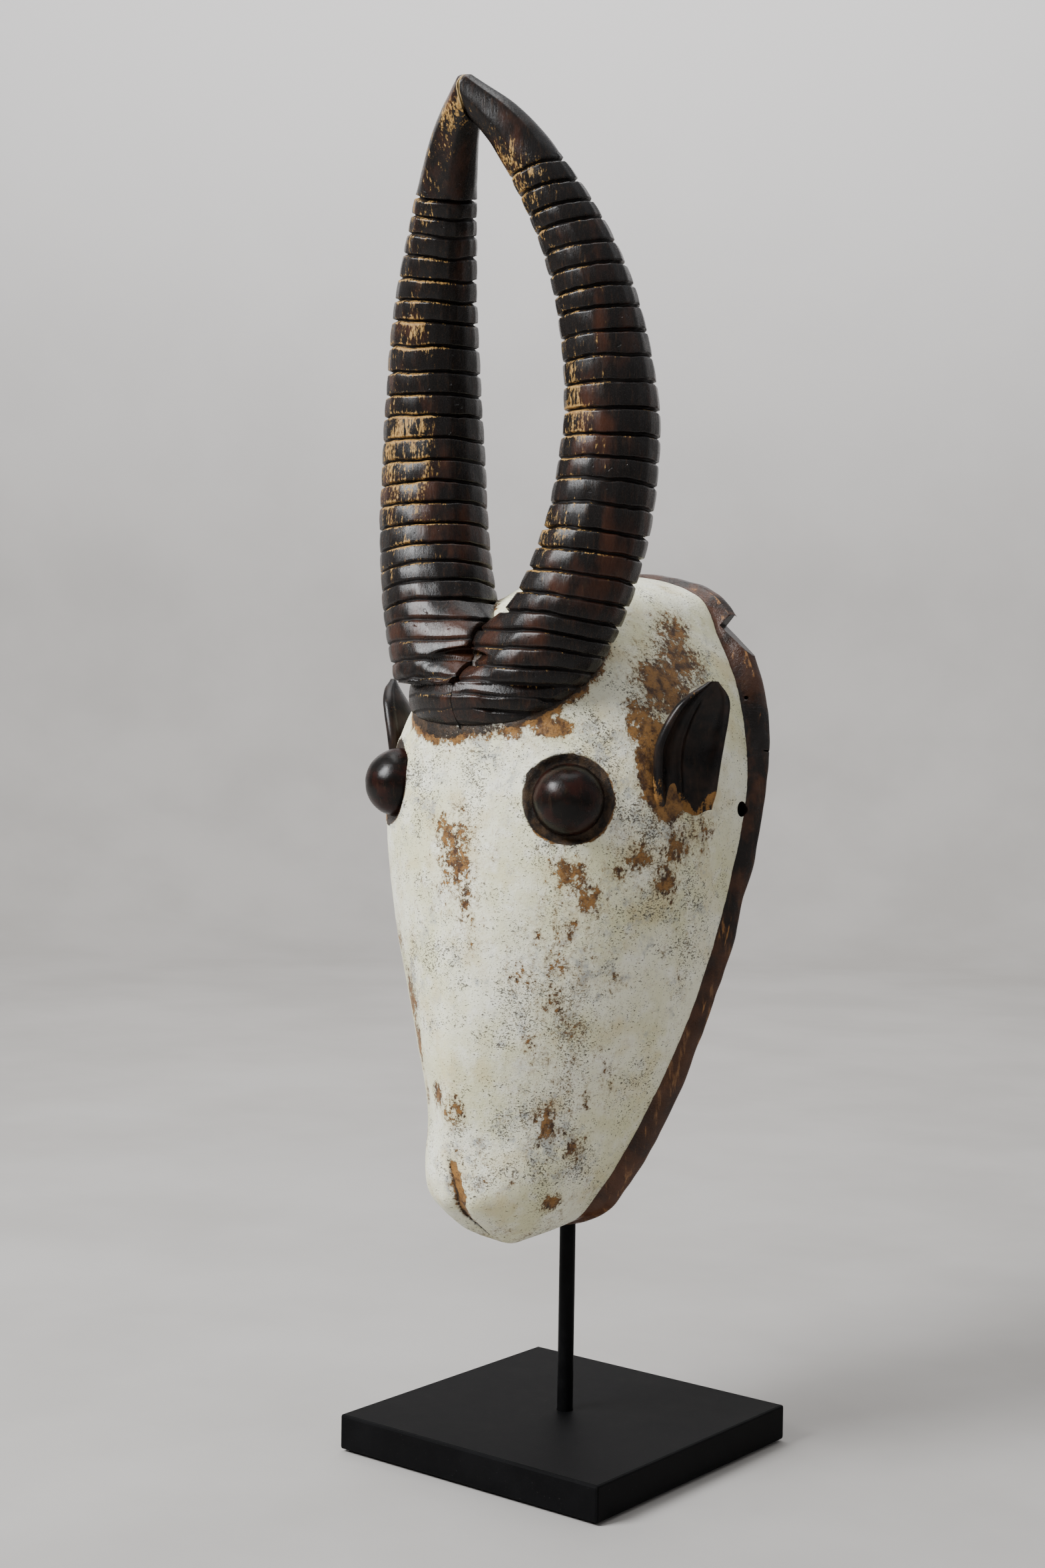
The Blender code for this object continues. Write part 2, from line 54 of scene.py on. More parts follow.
# The carved head, as the solids have it
BOARD_UNDER_MM = 1.5
BACK_Y_MM = -28.0
BACK_Z_MM = 140.0 + BOARD_UNDER_MM
LEAN = 0.232
RIM_DEPTH_MM = 11.0
RIM_LAND_MM = 9.0
WALL_MM = 14.0
GAP_MM = 0.3
KEEL_RISE_MM = 10.0
KEEL_ROWS = 3.0
RIM_FLARE_MM = (-5.0, 0.0, 8.0, 9.0, 7.0, 6.0, 6.5, 12.5, 14.0, 7.5, 5.0)
# height above the board's underside, half width at the paint edge, front, fullness of the section
HEAD_ROWS = (
    (140, 0.0, -62.0, 2.40),
    (148, 30.0, -76.0, 2.80),
    (172, 48.0, -110.5, 2.40),
    (215, 70.0, -115.0, 1.60),
    (275, 92.5, -118.0, 1.68),
    (345, 107.0, -117.5, 2.10),
    (415, 112.0, -114.0, 2.45),
    (470, 98.0, -107.0, 2.10),
    (510, 75.0, -87.0, 1.85),
    (537, 53.0, -48.0, 1.65),
    (549, 0.0, -5.0, 2.00),
)
HEAD_LEVELS = 360
HEAD_TURNS = 280
RIM_STEPS = 34

# Horns: centre line of the mask's left horn, and its radius
HORN_ROWS = (
    (10.0, -96.0, 468.0, 25.0),
    (27.0, -86.5, 480.0, 30.5),
    (47.0, -74.5, 516.0, 33.0),
    (62.0, -65.0, 566.0, 32.0),
    (68.0, -60.0, 620.0, 30.0),
    (67.0, -62.0, 662.0, 27.5),
    (60.0, -69.0, 708.0, 24.0),
    (46.0, -80.0, 750.0, 19.5),
    (22.5, -98.0, 796.0, 14.0),
    (-3.0, -114.0, 824.0, 8.5),
)
HORN_GIRTH = {1: 0.95, -1: 1.05}
HORN_STEPS = 720
HORN_SIDES = 150
RINGS_TURN_MM = 78.0
FOOT_RUN_MM = 34.0
FOOT_STEPS = 56
TIP_ROUND_MM = 4.0
TIP_STEPS = 14

# Eyes and cord holes
EYE_LEVEL = {1: 5.96, -1: 6.05}
EYE_TURN = radians(55)
EYE_R_MM = 21.0
EYE_SINK_MM = 5.0
CORD_HOLE_MM = (112.0, 18.6, 407.0)
CORD_HOLE_R_MM = 4.7

# Ears: centre line of the mask's left ear, its half width, and how deep it is cupped
EAR_ROWS = (
    (109.0, -36.0, 404.5, 16.8, 1.5),
    (111.3, -37.8, 421.5, 18.0, 5.0),
    (113.3, -38.8, 436.5, 19.0, 8.0),
    (115.0, -38.8, 447.0, 19.3, 8.5),
    (119.5, -37.8, 461.5, 17.0, 8.0),
    (123.5, -36.0, 473.0, 12.3, 5.0),
    (125.4, -32.5, 483.0, 1.8, 0.5),
)
EAR_ACROSS = np.array((0.480, 0.877, 0.0))
EAR_STEPS = 110
EAR_COLUMNS = 72
EAR_EDGE = 7

ROD_R_MM = 5.0
CAP_R_MM = 6.2
CAP_BORE_R_MM = 5.3
CAP_TOP_MM = 2.0

SIDES = ((1, "left"), (-1, "right"))


# ---------------------------------------------------------------- numbers

def smooth(low, high, value):
    """0 below low, 1 above high, and a smooth rise between them."""
    t = np.clip((value - low) / (high - low), 0.0, 1.0)
    return t * t * (3 - 2 * t)


def lattice(x, y, z, seed):
    """A steady pseudo-random value from -1 to 1 for each point of a whole-number grid."""
    mixed = (x * 374761393 + y * 668265263 + z * 1442695041 + seed * 1274126177) & 0xFFFFFFFF
    mixed = ((mixed ^ (mixed >> 13)) * 1274126177) & 0xFFFFFFFF
    return ((mixed ^ (mixed >> 16)) & 0xFFFF) / 32767.5 - 1


def noise(points, size, seed):
    """Smooth noise from -1 to 1 at each point, with bumps about as far apart as size."""
    scaled = points / size
    base = np.floor(scaled).astype(np.int64)
    part = scaled - base
    part = part * part * (3 - 2 * part)
    total = np.zeros(len(points))
    for corner in range(8):
        step = np.array((corner & 1, corner >> 1 & 1, corner >> 2 & 1))
        weight = np.prod(np.where(step, part, 1 - part), axis=1)
        at = base + step
        total += weight * lattice(at[:, 0], at[:, 1], at[:, 2], seed)
    return total


def spline(rows, at):
    """Smooth curve through rows[1:-1]; at is 0 on rows[1], 1 on rows[2], and so on."""
    rows = np.asarray(rows, float)
    at = np.atleast_1d(np.asarray(at, float))
    first = np.clip(np.floor(at).astype(int), 0, len(rows) - 4)
    u = (at - first)[..., None]
    a, b, c, d = (rows[first + k] for k in range(4))
    bend = (2 * a - 5 * b + 4 * c - d) * u ** 2 + (3 * b - a - 3 * c + d) * u ** 3
    return 0.5 * (2 * b + (c - a) * u + bend)


def steered(rows):
    """The rows with one more at each end, straight on, so that the spline runs through all of them."""
    rows = np.asarray(rows, float)
    return np.vstack((2 * rows[0] - rows[1], rows, 2 * rows[-1] - rows[-2]))


def run_along(points):
    """Distance along a line of points at each of them, starting from 0."""
    return np.concatenate(([0], np.cumsum(np.linalg.norm(np.diff(points, axis=0), axis=1))))


def unit(vectors):
    return vectors / np.maximum(np.linalg.norm(vectors, axis=-1, keepdims=True), 1e-9)


# ---------------------------------------------------------------- meshes

def add_piece(name, body, points_mm, faces, materials, layers=None, replaces=()):
    """A visible piece from points in millimetres, riding on its body."""
    mesh = bpy.data.meshes.new(name)
    mesh.from_pydata((np.asarray(points_mm) * MM).tolist(), [], [tuple(face) for face in faces])
    for key, values in (layers or {}).items():
        layer = mesh.attributes.new(key, "FLOAT", "POINT")
        layer.data.foreach_set("value", np.asarray(values, np.float32))
    for material in materials:
        mesh.materials.append(material)
    mesh.shade_smooth()
    piece = bpy.data.objects.new(name, mesh)
    bpy.context.scene.collection.objects.link(piece)
    settle(piece, body, replaces)
    return piece


def settle(piece, body, replaces=()):
    """Says what the piece rides on and which solids it stands for."""
    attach(piece, body)
    if replaces:
        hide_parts(*replaces)


def positions(mesh):
    """The mesh's points in millimetres and its normals."""
    count = len(mesh.vertices)
    points = np.empty(count * 3)
    normals = np.empty(count * 3)
    mesh.vertices.foreach_get("co", points)
    mesh.vertex_normals.foreach_get("vector", normals)
    return points.reshape(-1, 3) / MM, normals.reshape(-1, 3)


def grid_faces(index, wrap):
    """Quads between neighbouring rows and columns of an index grid; wrap closes the columns."""
    after = np.roll(index, -1, axis=1) if wrap else index[:, 1:]
    before = index if wrap else index[:, :-1]
    quads = np.stack((before[:-1], after[:-1], after[1:], before[1:]), axis=-1)
    return quads.reshape(-1, 4)


def revolve(profile_mm, sides):
    """Points and faces of a closed turned shape; the profile starts and ends on the axis."""
    angles = np.arange(sides) * 2 * pi / sides
    inner = np.array(profile_mm[1:-1], float)
    rings = np.stack((
        inner[:, :1] * np.cos(angles),
        inner[:, :1] * np.sin(angles),
        np.repeat(inner[:, 1:], sides, axis=1),
    ), axis=-1)
    points = np.vstack((rings.reshape(-1, 3), (0, 0, profile_mm[0][1]), (0, 0, profile_mm[-1][1])))
    index = np.arange(len(inner) * sides).reshape(len(inner), sides)
    faces = [tuple(face) for face in grid_faces(index, True)[:, ::-1]]
    top, bottom = len(points) - 2, len(points) - 1
    for i in range(sides):
        j = (i + 1) % sides
        faces.append((top, index[0, i], index[0, j]))
        faces.append((bottom, index[-1, j], index[-1, i]))
    return points, faces


def rounded(corners_mm, radius_mm, steps=4):
    """A profile with its inner corners rounded over by short arcs."""
    corners = [np.array(corner, float) for corner in corners_mm]
    profile = [corners[0]]
    for before, corner, after in zip(corners, corners[1:], corners[2:]):
        back = before - corner
        on = after - corner
        reach = min(radius_mm, np.linalg.norm(back) * 0.45, np.linalg.norm(on) * 0.45)
        start = corner + unit(back) * reach
        end = corner + unit(on) * reach
        for i in range(steps + 1):
            t = i / steps
            profile.append((1 - t) ** 2 * start + 2 * t * (1 - t) * corner + t ** 2 * end)
    profile.append(corners[-1])
    return [tuple(point) for point in profile]


def cut(piece, cutters):
    """Takes the cutters away from the piece for good."""
    for cutter in cutters:
        modifier = piece.modifiers.new("cut", "BOOLEAN")
        modifier.operation = "DIFFERENCE"
        modifier.solver = "MANIFOLD"
        modifier.material_mode = "TRANSFER"
        modifier.object = cutter
    bpy.context.view_layer.update()
    evaluated = piece.evaluated_get(bpy.context.evaluated_depsgraph_get())
    made = bpy.data.meshes.new_from_object(evaluated)
    old = piece.data
    piece.modifiers.clear()
    piece.data = made
    bpy.data.meshes.remove(old)
    for cutter in cutters:
        bpy.data.objects.remove(cutter, do_unlink=True)


def cutter(name, size_mm, place_mm, aim, material, sides=0):
    """A box, or a round bar when sides is given, with its Z axis along aim."""
    bm = bmesh.new()
    if sides:
        bmesh.ops.create_cone(bm, cap_ends=True, segments=sides, radius1=0.5, radius2=0.5, depth=1)
    else:
        bmesh.ops.create_cube(bm, size=1)
    bmesh.ops.scale(bm, vec=Vector(size_mm) * MM, verts=bm.verts)
    turn = Vector(aim).to_track_quat("Z", "Y").to_matrix().to_4x4()
    bm.transform(Matrix.Translation(Vector(place_mm) * MM) @ turn)
    mesh = bpy.data.meshes.new(name)
    bm.to_mesh(mesh)
    bm.free()
    mesh.materials.append(material)
    made = bpy.data.objects.new(name, mesh)
    bpy.context.scene.collection.objects.link(made)
    return made


# ---------------------------------------------------------------- materials

class Nodes:
    """A short way to write a material's nodes."""

    def __init__(self, name):
        self.material = bpy.data.materials.new(name)
        self.material.use_nodes = True
        self.tree = self.material.node_tree
        self.shader = self.tree.nodes["Principled BSDF"]
        self.place = self.make("ShaderNodeTexCoord").outputs["Object"]

    def make(self, kind, **settings):
        node = self.tree.nodes.new(kind)
        for key, value in settings.items():
            setattr(node, key, value)
        return node

    def link(self, value, socket):
        if isinstance(value, bpy.types.NodeSocket):
            self.tree.links.new(value, socket)
        else:
            socket.default_value = value

    def math(self, operation, a, b=0.0, clamp=False):
        node = self.make("ShaderNodeMath", operation=operation, use_clamp=clamp)
        self.link(a, node.inputs[0])
        self.link(b, node.inputs[1])
        return node.outputs[0]

    def add(self, a, b):
        return self.math("ADD", a, b)

    def times(self, a, b):
        return self.math("MULTIPLY", a, b)

    def most(self, a, b):
        return self.math("MAXIMUM", a, b)

    def swing(self, value, size):
        """A value from 0 to 1 moved about its middle, times size."""
        return self.times(self.add(value, -0.5), size)

    def flip(self, a):
        return self.math("SUBTRACT", 1.0, a)

    def attribute(self, name):
        return self.make("ShaderNodeAttribute", attribute_name=name).outputs["Fac"]

    def noise(self, size_mm, detail=4.0, roughness=0.6, stretch=(1, 1, 1), shift=0.0):
        """Noise from 0 to 1 whose bumps are about size_mm apart, stretched along each axis."""
        mapping = self.make("ShaderNodeMapping")
        self.link(self.place, mapping.inputs["Vector"])
        mapping.inputs["Scale"].default_value = [1 / (size_mm * MM * s) for s in stretch]
        mapping.inputs["Location"].default_value = (shift, shift * 0.7, -shift)
        node = self.make("ShaderNodeTexNoise")
        self.link(mapping.outputs["Vector"], node.inputs["Vector"])
        node.inputs["Scale"].default_value = 1.0
        node.inputs["Detail"].default_value = detail
        node.inputs["Roughness"].default_value = roughness
        return node.outputs["Fac"]

    def height(self):
        node = self.make("ShaderNodeSeparateXYZ")
        self.link(self.place, node.inputs[0])
        return node.outputs["Z"]

    def distance(self, place_mm):
        node = self.make("ShaderNodeVectorMath", operation="DISTANCE")
        self.link(self.place, node.inputs[0])
        node.inputs[1].default_value = np.asarray(place_mm) * MM
        return node.outputs["Value"]

    def step(self, value, low, high, share=1.0):
        """0 where value is at low, share where it is at high, smooth between; low may be the larger."""
        if low > high:
            return self.times(self.flip(self.step(value, high, low)), share)
        node = self.make("ShaderNodeMapRange", interpolation_type="SMOOTHSTEP")
        self.link(value, node.inputs["Value"])
        node.inputs["From Min"].default_value = low
        node.inputs["From Max"].default_value = high
        return node.outputs["Result"] if share == 1.0 else self.times(node.outputs["Result"], share)

    def mix(self, share, a, b):
        """Colour a where share is 0 and b where it is 1."""
        node = self.make("ShaderNodeMix", data_type="RGBA")
        self.link(share, node.inputs[0])
        self.link(a if isinstance(a, bpy.types.NodeSocket) else (*a, 1.0), node.inputs[6])
        self.link(b if isinstance(b, bpy.types.NodeSocket) else (*b, 1.0), node.inputs[7])
        return node.outputs[2]

    def blend(self, share, a, b):
        node = self.make("ShaderNodeMix", data_type="FLOAT")
        self.link(share, node.inputs[0])
        self.link(a, node.inputs[2])
        self.link(b, node.inputs[3])
        return node.outputs[0]

    def finish(self, colour, roughness, height, height_mm, specular=0.5, metallic=0.0):
        """Links the shader; height, from 0 to 1, becomes a bump height_mm deep."""
        self.link(colour, self.shader.inputs["Base Color"])
        self.link(roughness, self.shader.inputs["Roughness"])
        self.shader.inputs["Specular IOR Level"].default_value = specular
        self.shader.inputs["Metallic"].default_value = metallic
        bump = self.make("ShaderNodeBump")
        bump.inputs["Distance"].default_value = height_mm * MM
        bump.inputs["Strength"].default_value = 1.0
        self.link(height, bump.inputs["Height"])
        self.link(bump.outputs["Normal"], self.shader.inputs["Normal"])
        return self.material


def chalk_paint(n, cloud, blot):
    """Cream coats of paint, yellowed and greyed in places, thin along the grain."""
    grain = n.noise(3.2, 6, 0.7, stretch=(1, 1, 5), shift=5.5)
    colour = n.mix(n.step(cloud, 0.36, 0.62), (0.70, 0.68, 0.44), (0.84, 0.83, 0.66))
    colour = n.mix(n.step(blot, 0.46, 0.72, 0.55), colour, (0.93, 0.93, 0.85))
    yellow = n.step(n.noise(30, 4, 0.6, shift=11.0), 0.50, 0.70, 0.55)
    colour = n.mix(yellow, colour, (0.62, 0.52, 0.27))
    grey = n.step(n.noise(17, 5, 0.7, shift=19.0), 0.56, 0.74, 0.38)
    colour = n.mix(grey, colour, (0.40, 0.41, 0.40))
    return n.mix(n.step(grain, 0.5, 0.75, 0.22), colour, (0.42, 0.36, 0.24))


def rim_wood(n, cloud, long_grain):
    """The bare rim: near-black patina, red-brown below, rubbed orange along its ridges."""
    patina = n.step(n.noise(26, 4, 0.6, shift=41.0), 0.42, 0.62)
    colour = n.mix(patina, (0.009, 0.006, 0.005), (0.06, 0.022, 0.010))
    colour = n.mix(n.step(long_grain, 0.5, 0.72, 0.45), colour, (0.11, 0.05, 0.022))
    rubbed = n.step(n.add(n.attribute("ridge"), n.swing(long_grain, 1.6)), 0.72, 0.92, 0.8)
    colour = n.mix(rubbed, colour, (0.40, 0.19, 0.06))
    height = n.height()
    foot = n.times(n.step(height, 0.36, 0.22), n.step(cloud, 0.3, 0.6))
    foot_wood = n.mix(long_grain, (0.07, 0.026, 0.012), (0.15, 0.066, 0.03))
    colour = n.mix(n.times(foot, 0.75), colour, foot_wood)
    streaks = n.times(n.step(height, 0.36, 0.24), n.step(long_grain, 0.56, 0.68))
    return n.mix(n.times(streaks, 0.7), colour, (0.30, 0.15, 0.06))


def face_material():
    """Chalky cream paint, thin and speckled, worn through to ochre and dark wood, with painted shade in the
    eye sockets, the lip groove and round the horns' feet; the rim is bare.
    """
    n = Nodes("limed_face")
    cloud = n.noise(48, 4, 0.55)
    blot = n.noise(13, 5, 0.6, shift=3.1)
    ragged = n.noise(5.5, 7, 0.72, stretch=(1, 1, 1.5), shift=7.7)
    speck = n.noise(1.5, 3, 0.6, stretch=(1.25, 1.25, 0.8), shift=1.3)
    wear = n.attribute("wear")
    soot_and_shade = n.attribute("soot_and_shade")
    colour = chalk_paint(n, cloud, blot)
    # fine dark specks where the paint lies thin
    patchy = n.step(n.noise(22, 4, 0.6, shift=23.0), 0.42, 0.7, 0.09)
    grit = n.most(speck, n.add(n.noise(0.9, 2, 0.5, shift=29.0), -0.02))
    specks = n.step(n.add(grit, n.add(patchy, n.times(soot_and_shade, 0.2))), 0.665, 0.705)
    smoke = n.add(n.noise(11, 5, 0.7, shift=37.0), n.times(soot_and_shade, 0.55))
    colour = n.mix(n.step(smoke, 0.60, 0.80, 0.7), colour, (0.27, 0.29, 0.31))
    colour = n.mix(n.times(specks, 0.85), colour, (0.055, 0.045, 0.038))
    # paint worn off in ragged patches
    crumb = n.noise(2.3, 6, 0.75, shift=47.0)
    edge = n.add(n.swing(ragged, 1.35), n.swing(crumb, 1.25))
    worn_level = n.add(n.add(wear, edge), n.swing(blot, 0.5))
    rubbed_thin = n.mix(blot, (0.46, 0.33, 0.16), (0.34, 0.28, 0.19))
    colour = n.mix(n.step(worn_level, 0.20, 0.48, 0.50), colour, rubbed_thin)
    worn = n.step(worn_level, 0.47, 0.56)
    stain = n.step(n.noise(7, 5, 0.65, shift=31.0), 0.36, 0.6)
    ochre = n.mix(stain, (0.055, 0.026, 0.013), (0.27, 0.135, 0.04))
    ochre = n.mix(n.step(speck, 0.55, 0.68, 0.6), ochre, (0.05, 0.028, 0.016))
    colour = n.mix(worn, colour, ochre)
    # grime, with painted shade in the lip groove and round the horns' feet, and painted shade blackening the
    # socket round each eye
    black = n.step(n.add(soot_and_shade, edge), 0.5, 0.62)
    # painted shade and grime: the socket round each eye dome is blackened out to about 27 mm from the eye's
    # centre
    from_eye = n.math("MINIMUM", *[n.distance(eye_seat(side)[0]) for side, _ in SIDES])
    near_eye = n.add(n.swing(blot, 0.004), from_eye)
    black = n.most(black, n.step(near_eye, 0.0272, 0.0262))
    grime_and_shade = n.mix(n.step(ragged, 0.4, 0.65), (0.012, 0.009, 0.007), (0.06, 0.035, 0.018))
    colour = n.mix(black, colour, grime_and_shade)
    long_grain = n.noise(4, 6, 0.65, stretch=(1, 1, 6), shift=2.0)
    bare_edge = n.step(n.add(n.attribute("bare"), n.swing(ragged, 0.9)), 0.44, 0.56)
    colour = n.mix(bare_edge, colour, rim_wood(n, cloud, long_grain))
    off = n.most(n.most(worn, black), bare_edge)
    roughness = n.blend(off, n.blend(speck, 0.62, 0.85), 0.42)
    roughness = n.blend(bare_edge, roughness, n.blend(long_grain, 0.2, 0.42))
    relief = n.add(n.times(n.flip(off), 0.8), n.add(n.times(speck, 0.6), n.times(ragged, 0.8)))
    relief = n.add(relief, n.times(n.flip(specks), 0.3))
    return n.finish(colour, roughness, relief, 0.5, specular=0.3)


def hollow_material():
    """Gouged, handled bare wood in the hollow."""
    n = Nodes("hollow_wood")
    grain = n.noise(2.4, 7, 0.65, stretch=(1, 1, 9))
    cloud = n.noise(38, 4, 0.6, shift=4.0)
    colour = n.mix(n.step(grain, 0.35, 0.7), (0.16, 0.085, 0.038), (0.34, 0.20, 0.095))
    colour = n.mix(n.step(cloud, 0.45, 0.68, 0.6), colour, (0.07, 0.04, 0.022))
    dots = n.step(n.noise(1.1, 2, 0.5, shift=9.0), 0.68, 0.74)
    colour = n.mix(n.times(dots, 0.5), colour, (0.03, 0.02, 0.014))
    return n.finish(colour, n.blend(grain, 0.55, 0.78), grain, 0.25, specular=0.3)


def horn_material():
    """Polished black-brown patina, rubbed through to tan along the rings' edges, with the tan painted heavier
    on the side facing the light.
    """
    n = Nodes("horn_patina")
    groove = n.attribute("groove")
    lip = n.attribute("lip")
    rub = n.attribute("rub")
    cream = n.attribute("cream")
    seam = n.attribute("seam")
    streak = n.noise(1.8, 6, 0.7, stretch=(1, 1, 6))
    broad = n.noise(24, 4, 0.6, stretch=(1, 1, 2.2), shift=6.0)
    fine = n.noise(1.0, 4, 0.7, stretch=(1, 1, 2.5), shift=8.0)
    colour = n.mix(n.step(broad, 0.48, 0.70), (0.0065, 0.0052, 0.0048), (0.042, 0.015, 0.008))
    colour = n.mix(n.step(streak, 0.5, 0.75, 0.4), colour, (0.07, 0.036, 0.018))
    shade = n.add(n.swing(streak, 1.8), n.swing(fine, 0.9))
    shade = n.add(shade, n.times(n.add(n.noise(11, 3, 0.6, stretch=(1, 1, 1.4), shift=17.0), -0.5), 1.0))
    gold = n.step(n.add(n.add(n.times(lip, 0.52), rub), shade), 0.60, 0.80)
    tan = n.mix(n.step(fine, 0.35, 0.65), (0.22, 0.105, 0.028), (0.48, 0.29, 0.085))
    colour = n.mix(n.times(gold, 0.85), colour, tan)
    colour = n.mix(n.step(groove, 0.25, 0.9, 0.92), colour, (0.006, 0.0045, 0.004))
    limed = n.step(n.add(cream, n.swing(fine, 1.1)), 0.55, 0.75)
    colour = n.mix(n.times(limed, 0.8), colour, (0.42, 0.36, 0.22))
    colour = n.mix(n.step(n.add(seam, n.swing(streak, 0.8)), 0.5, 0.7), colour, (0.36, 0.25, 0.11))
    dull = n.most(n.most(gold, n.step(groove, 0.2, 0.7)), limed)
    roughness = n.blend(dull, n.blend(n.noise(9, 4, 0.6, shift=3.0), 0.20, 0.34), 0.58)
    roughness = n.add(roughness, n.swing(fine, 0.3))
    pits = n.step(n.noise(4.2, 1, 0.3, shift=14.0), 0.74, 0.78)
    relief = n.add(n.times(streak, 0.7), n.add(n.times(fine, 0.25), n.times(pits, -1.5)))
    return n.finish(colour, roughness, relief, 0.3, specular=0.26)


def dark_wood(name, light, dark, worn, gloss):
    """Polished dark wood for the ears and eyes, rubbed through where rub is high."""
    n = Nodes(name)
    streak = n.noise(2.6, 6, 0.68, stretch=(1, 1, 6))
    cloud = n.noise(12, 4, 0.6, shift=5.0)
    fine = n.noise(1.1, 4, 0.7, shift=9.0)
    colour = n.mix(n.step(cloud, 0.4, 0.65), dark, light)
    colour = n.mix(n.step(streak, 0.52, 0.75, 0.3), colour, (0.062, 0.034, 0.016))
    scratches = n.add(n.swing(streak, 1.3), n.swing(fine, 0.8))
    rubbed = n.step(n.add(n.attribute("rub"), scratches), 0.5, 0.72)
    tan = n.mix(fine, (0.16, 0.075, 0.022), worn)
    colour = n.mix(n.times(rubbed, 0.9), colour, tan)
    roughness = n.blend(rubbed, n.blend(cloud, gloss, gloss + 0.2), 0.55)
    relief = n.add(n.times(streak, 0.6), n.times(fine, 0.35))
    return n.finish(colour, roughness, relief, 0.2, specular=0.19)


def plain_wood(name):
    """Sawn light hardwood for the hidden crosspiece and dowels."""
    n = Nodes(name)
    grain = n.noise(1.6, 7, 0.65, stretch=(14, 1, 1))
    cloud = n.noise(30, 3, 0.5, shift=2.0)
    colour = n.mix(n.step(grain, 0.35, 0.7), (0.24, 0.13, 0.06), (0.46, 0.30, 0.16))
    colour = n.mix(n.times(cloud, 0.3), colour, (0.20, 0.12, 0.06))
    return n.finish(colour, n.blend(grain, 0.55, 0.75), grain, 0.2, specular=0.3)


def lacquer(name, base, dust, gloss, size_mm):
    """Satin black lacquer with faint dust and small rubs."""
    n = Nodes(name)
    cloud = n.noise(size_mm, 5, 0.6)
    dots = n.step(n.noise(1.2, 2, 0.5, shift=3.0), 0.70, 0.76)
    colour = n.mix(n.step(cloud, 0.4, 0.75, 0.6), base, dust)
    colour = n.mix(n.times(dots, 0.25), colour, (0.06, 0.058, 0.055))
    orange_peel = n.noise(0.9, 3, 0.5, shift=7.0)
    return n.finish(colour, n.blend(cloud, gloss, gloss + 0.14), orange_peel, 0.05, specular=0.06)


def metal(name, colour, gloss):
    """Plated steel with fine brushing."""
    n = Nodes(name)
    brushed = n.noise(0.8, 5, 0.6, stretch=(1, 1, 6))
    tone = n.mix(n.times(brushed, 0.5), colour, tuple(c * 0.55 for c in colour))
    return n.finish(tone, n.blend(brushed, gloss, gloss + 0.2), brushed, 0.05, metallic=1.0)


def felt_material():
    """Dense black felt."""
    n = Nodes("black_felt")
    fibre = n.noise(0.5, 6, 0.8)
    colour = n.mix(n.step(fibre, 0.35, 0.7), (0.012, 0.012, 0.013), (0.045, 0.045, 0.048))
    return n.finish(colour, 0.95, fibre, 0.4, specular=0.1)


def nylon_material():
    """Uncoloured, slightly cloudy nylon."""
    n = Nodes("natural_nylon")
    cloud = n.noise(3, 4, 0.6)
    colour = n.mix(cloud, (0.55, 0.54, 0.49), (0.68, 0.67, 0.62))
    return n.finish(colour, n.blend(cloud, 0.4, 0.55), cloud, 0.08)


# ---------------------------------------------------------------- head

def head_rows():
    """HEAD_ROWS with a mirrored row past each end, so that the head closes in a round nose and crown."""
    rows = np.array(HEAD_ROWS, float)
    low = rows[1] * (1, -1, 1, 1)
    low[2] = 2 * rows[0, 2] - rows[1, 2]
    high = rows[-2] * (1, -1, 1, 1)
    high[2] = 2 * rows[-1, 2] - rows[-2, 2]
    return np.vstack((low, rows, high))


HEAD_SPLINE = head_rows()
BACK_NORMAL = unit(np.array((0.0, 1.0, -LEAN)))


def head_section(level):
    """Height, half width, paint edge, front and fullness of the head at each level."""
    height, half, front, fullness = spline(HEAD_SPLINE, level).T
    height = height + BOARD_UNDER_MM
    edge = BACK_Y_MM - RIM_DEPTH_MM + LEAN * (height - BACK_Z_MM)
    return height, half, edge, front, fullness


def head_points(level, turn):
    """Points of the painted face, for arrays of levels and turns, in millimetres."""
    level, turn = np.broadcast_arrays(np.asarray(level, float), np.asarray(turn, float))
    height, half, edge, front, fullness = (v.reshape(level.shape) for v in head_section(level.ravel()))
    across, forward = np.cos(turn), np.sin(turn)
    reach = (np.abs(across) ** fullness + np.abs(forward) ** fullness) ** (-1 / fullness)
    rise = KEEL_RISE_MM * np.maximum(0, 1 - level / KEEL_ROWS) ** 2 * (1 - forward * reach)
    return np.stack((half * across * reach, edge - (edge - front) * forward * reach, height + rise), axis=-1)


def head_normal(level, turn, step):
    """Way out of the painted face, from points a small step either side."""
    up = head_points(level + step, turn) - head_points(level - step, turn)
    left = head_points(level, turn - step) - head_points(level, turn + step)
    return unit(np.cross(left, up))


def even_levels(count):
    """Levels spaced so that the rows lie evenly along the middle of the face."""
    fine = np.linspace(0, len(HEAD_ROWS) - 1, 2000)
    line = head_points(fine, pi / 2)
    line[:, 0] = head_points(fine, 0)[:, 0]
    along = run_along(line)
    return np.interp(np.linspace(0, along[-1], count + 1), along, fine)


def rim_corner_path(height):
    """Corners of the rim's section at each height: outward and backward distances."""
    heights = np.array([row[0] for row in HEAD_ROWS]) + BOARD_UNDER_MM
    flares = np.array(RIM_FLARE_MM)
    k = np.clip(np.searchsorted(heights, height, side="right") - 1, 0, len(flares) - 2)
    share = np.clip((height - heights[k]) / (heights[k + 1] - heights[k]), 0, 1)
    flare = flares[k] + (flares[k + 1] - flares[k]) * share * share * (3 - 2 * share)
    inside = np.minimum(-RIM_LAND_MM, flare - 6)
    zero = np.zeros_like(flare)
    return (
        np.stack((zero, zero), -1),
        np.stack((flare - 2, zero + 0.35 * RIM_DEPTH_MM), -1),
        np.stack((flare, zero + RIM_DEPTH_MM), -1),
        np.stack((inside, zero + RIM_DEPTH_MM), -1),
    )


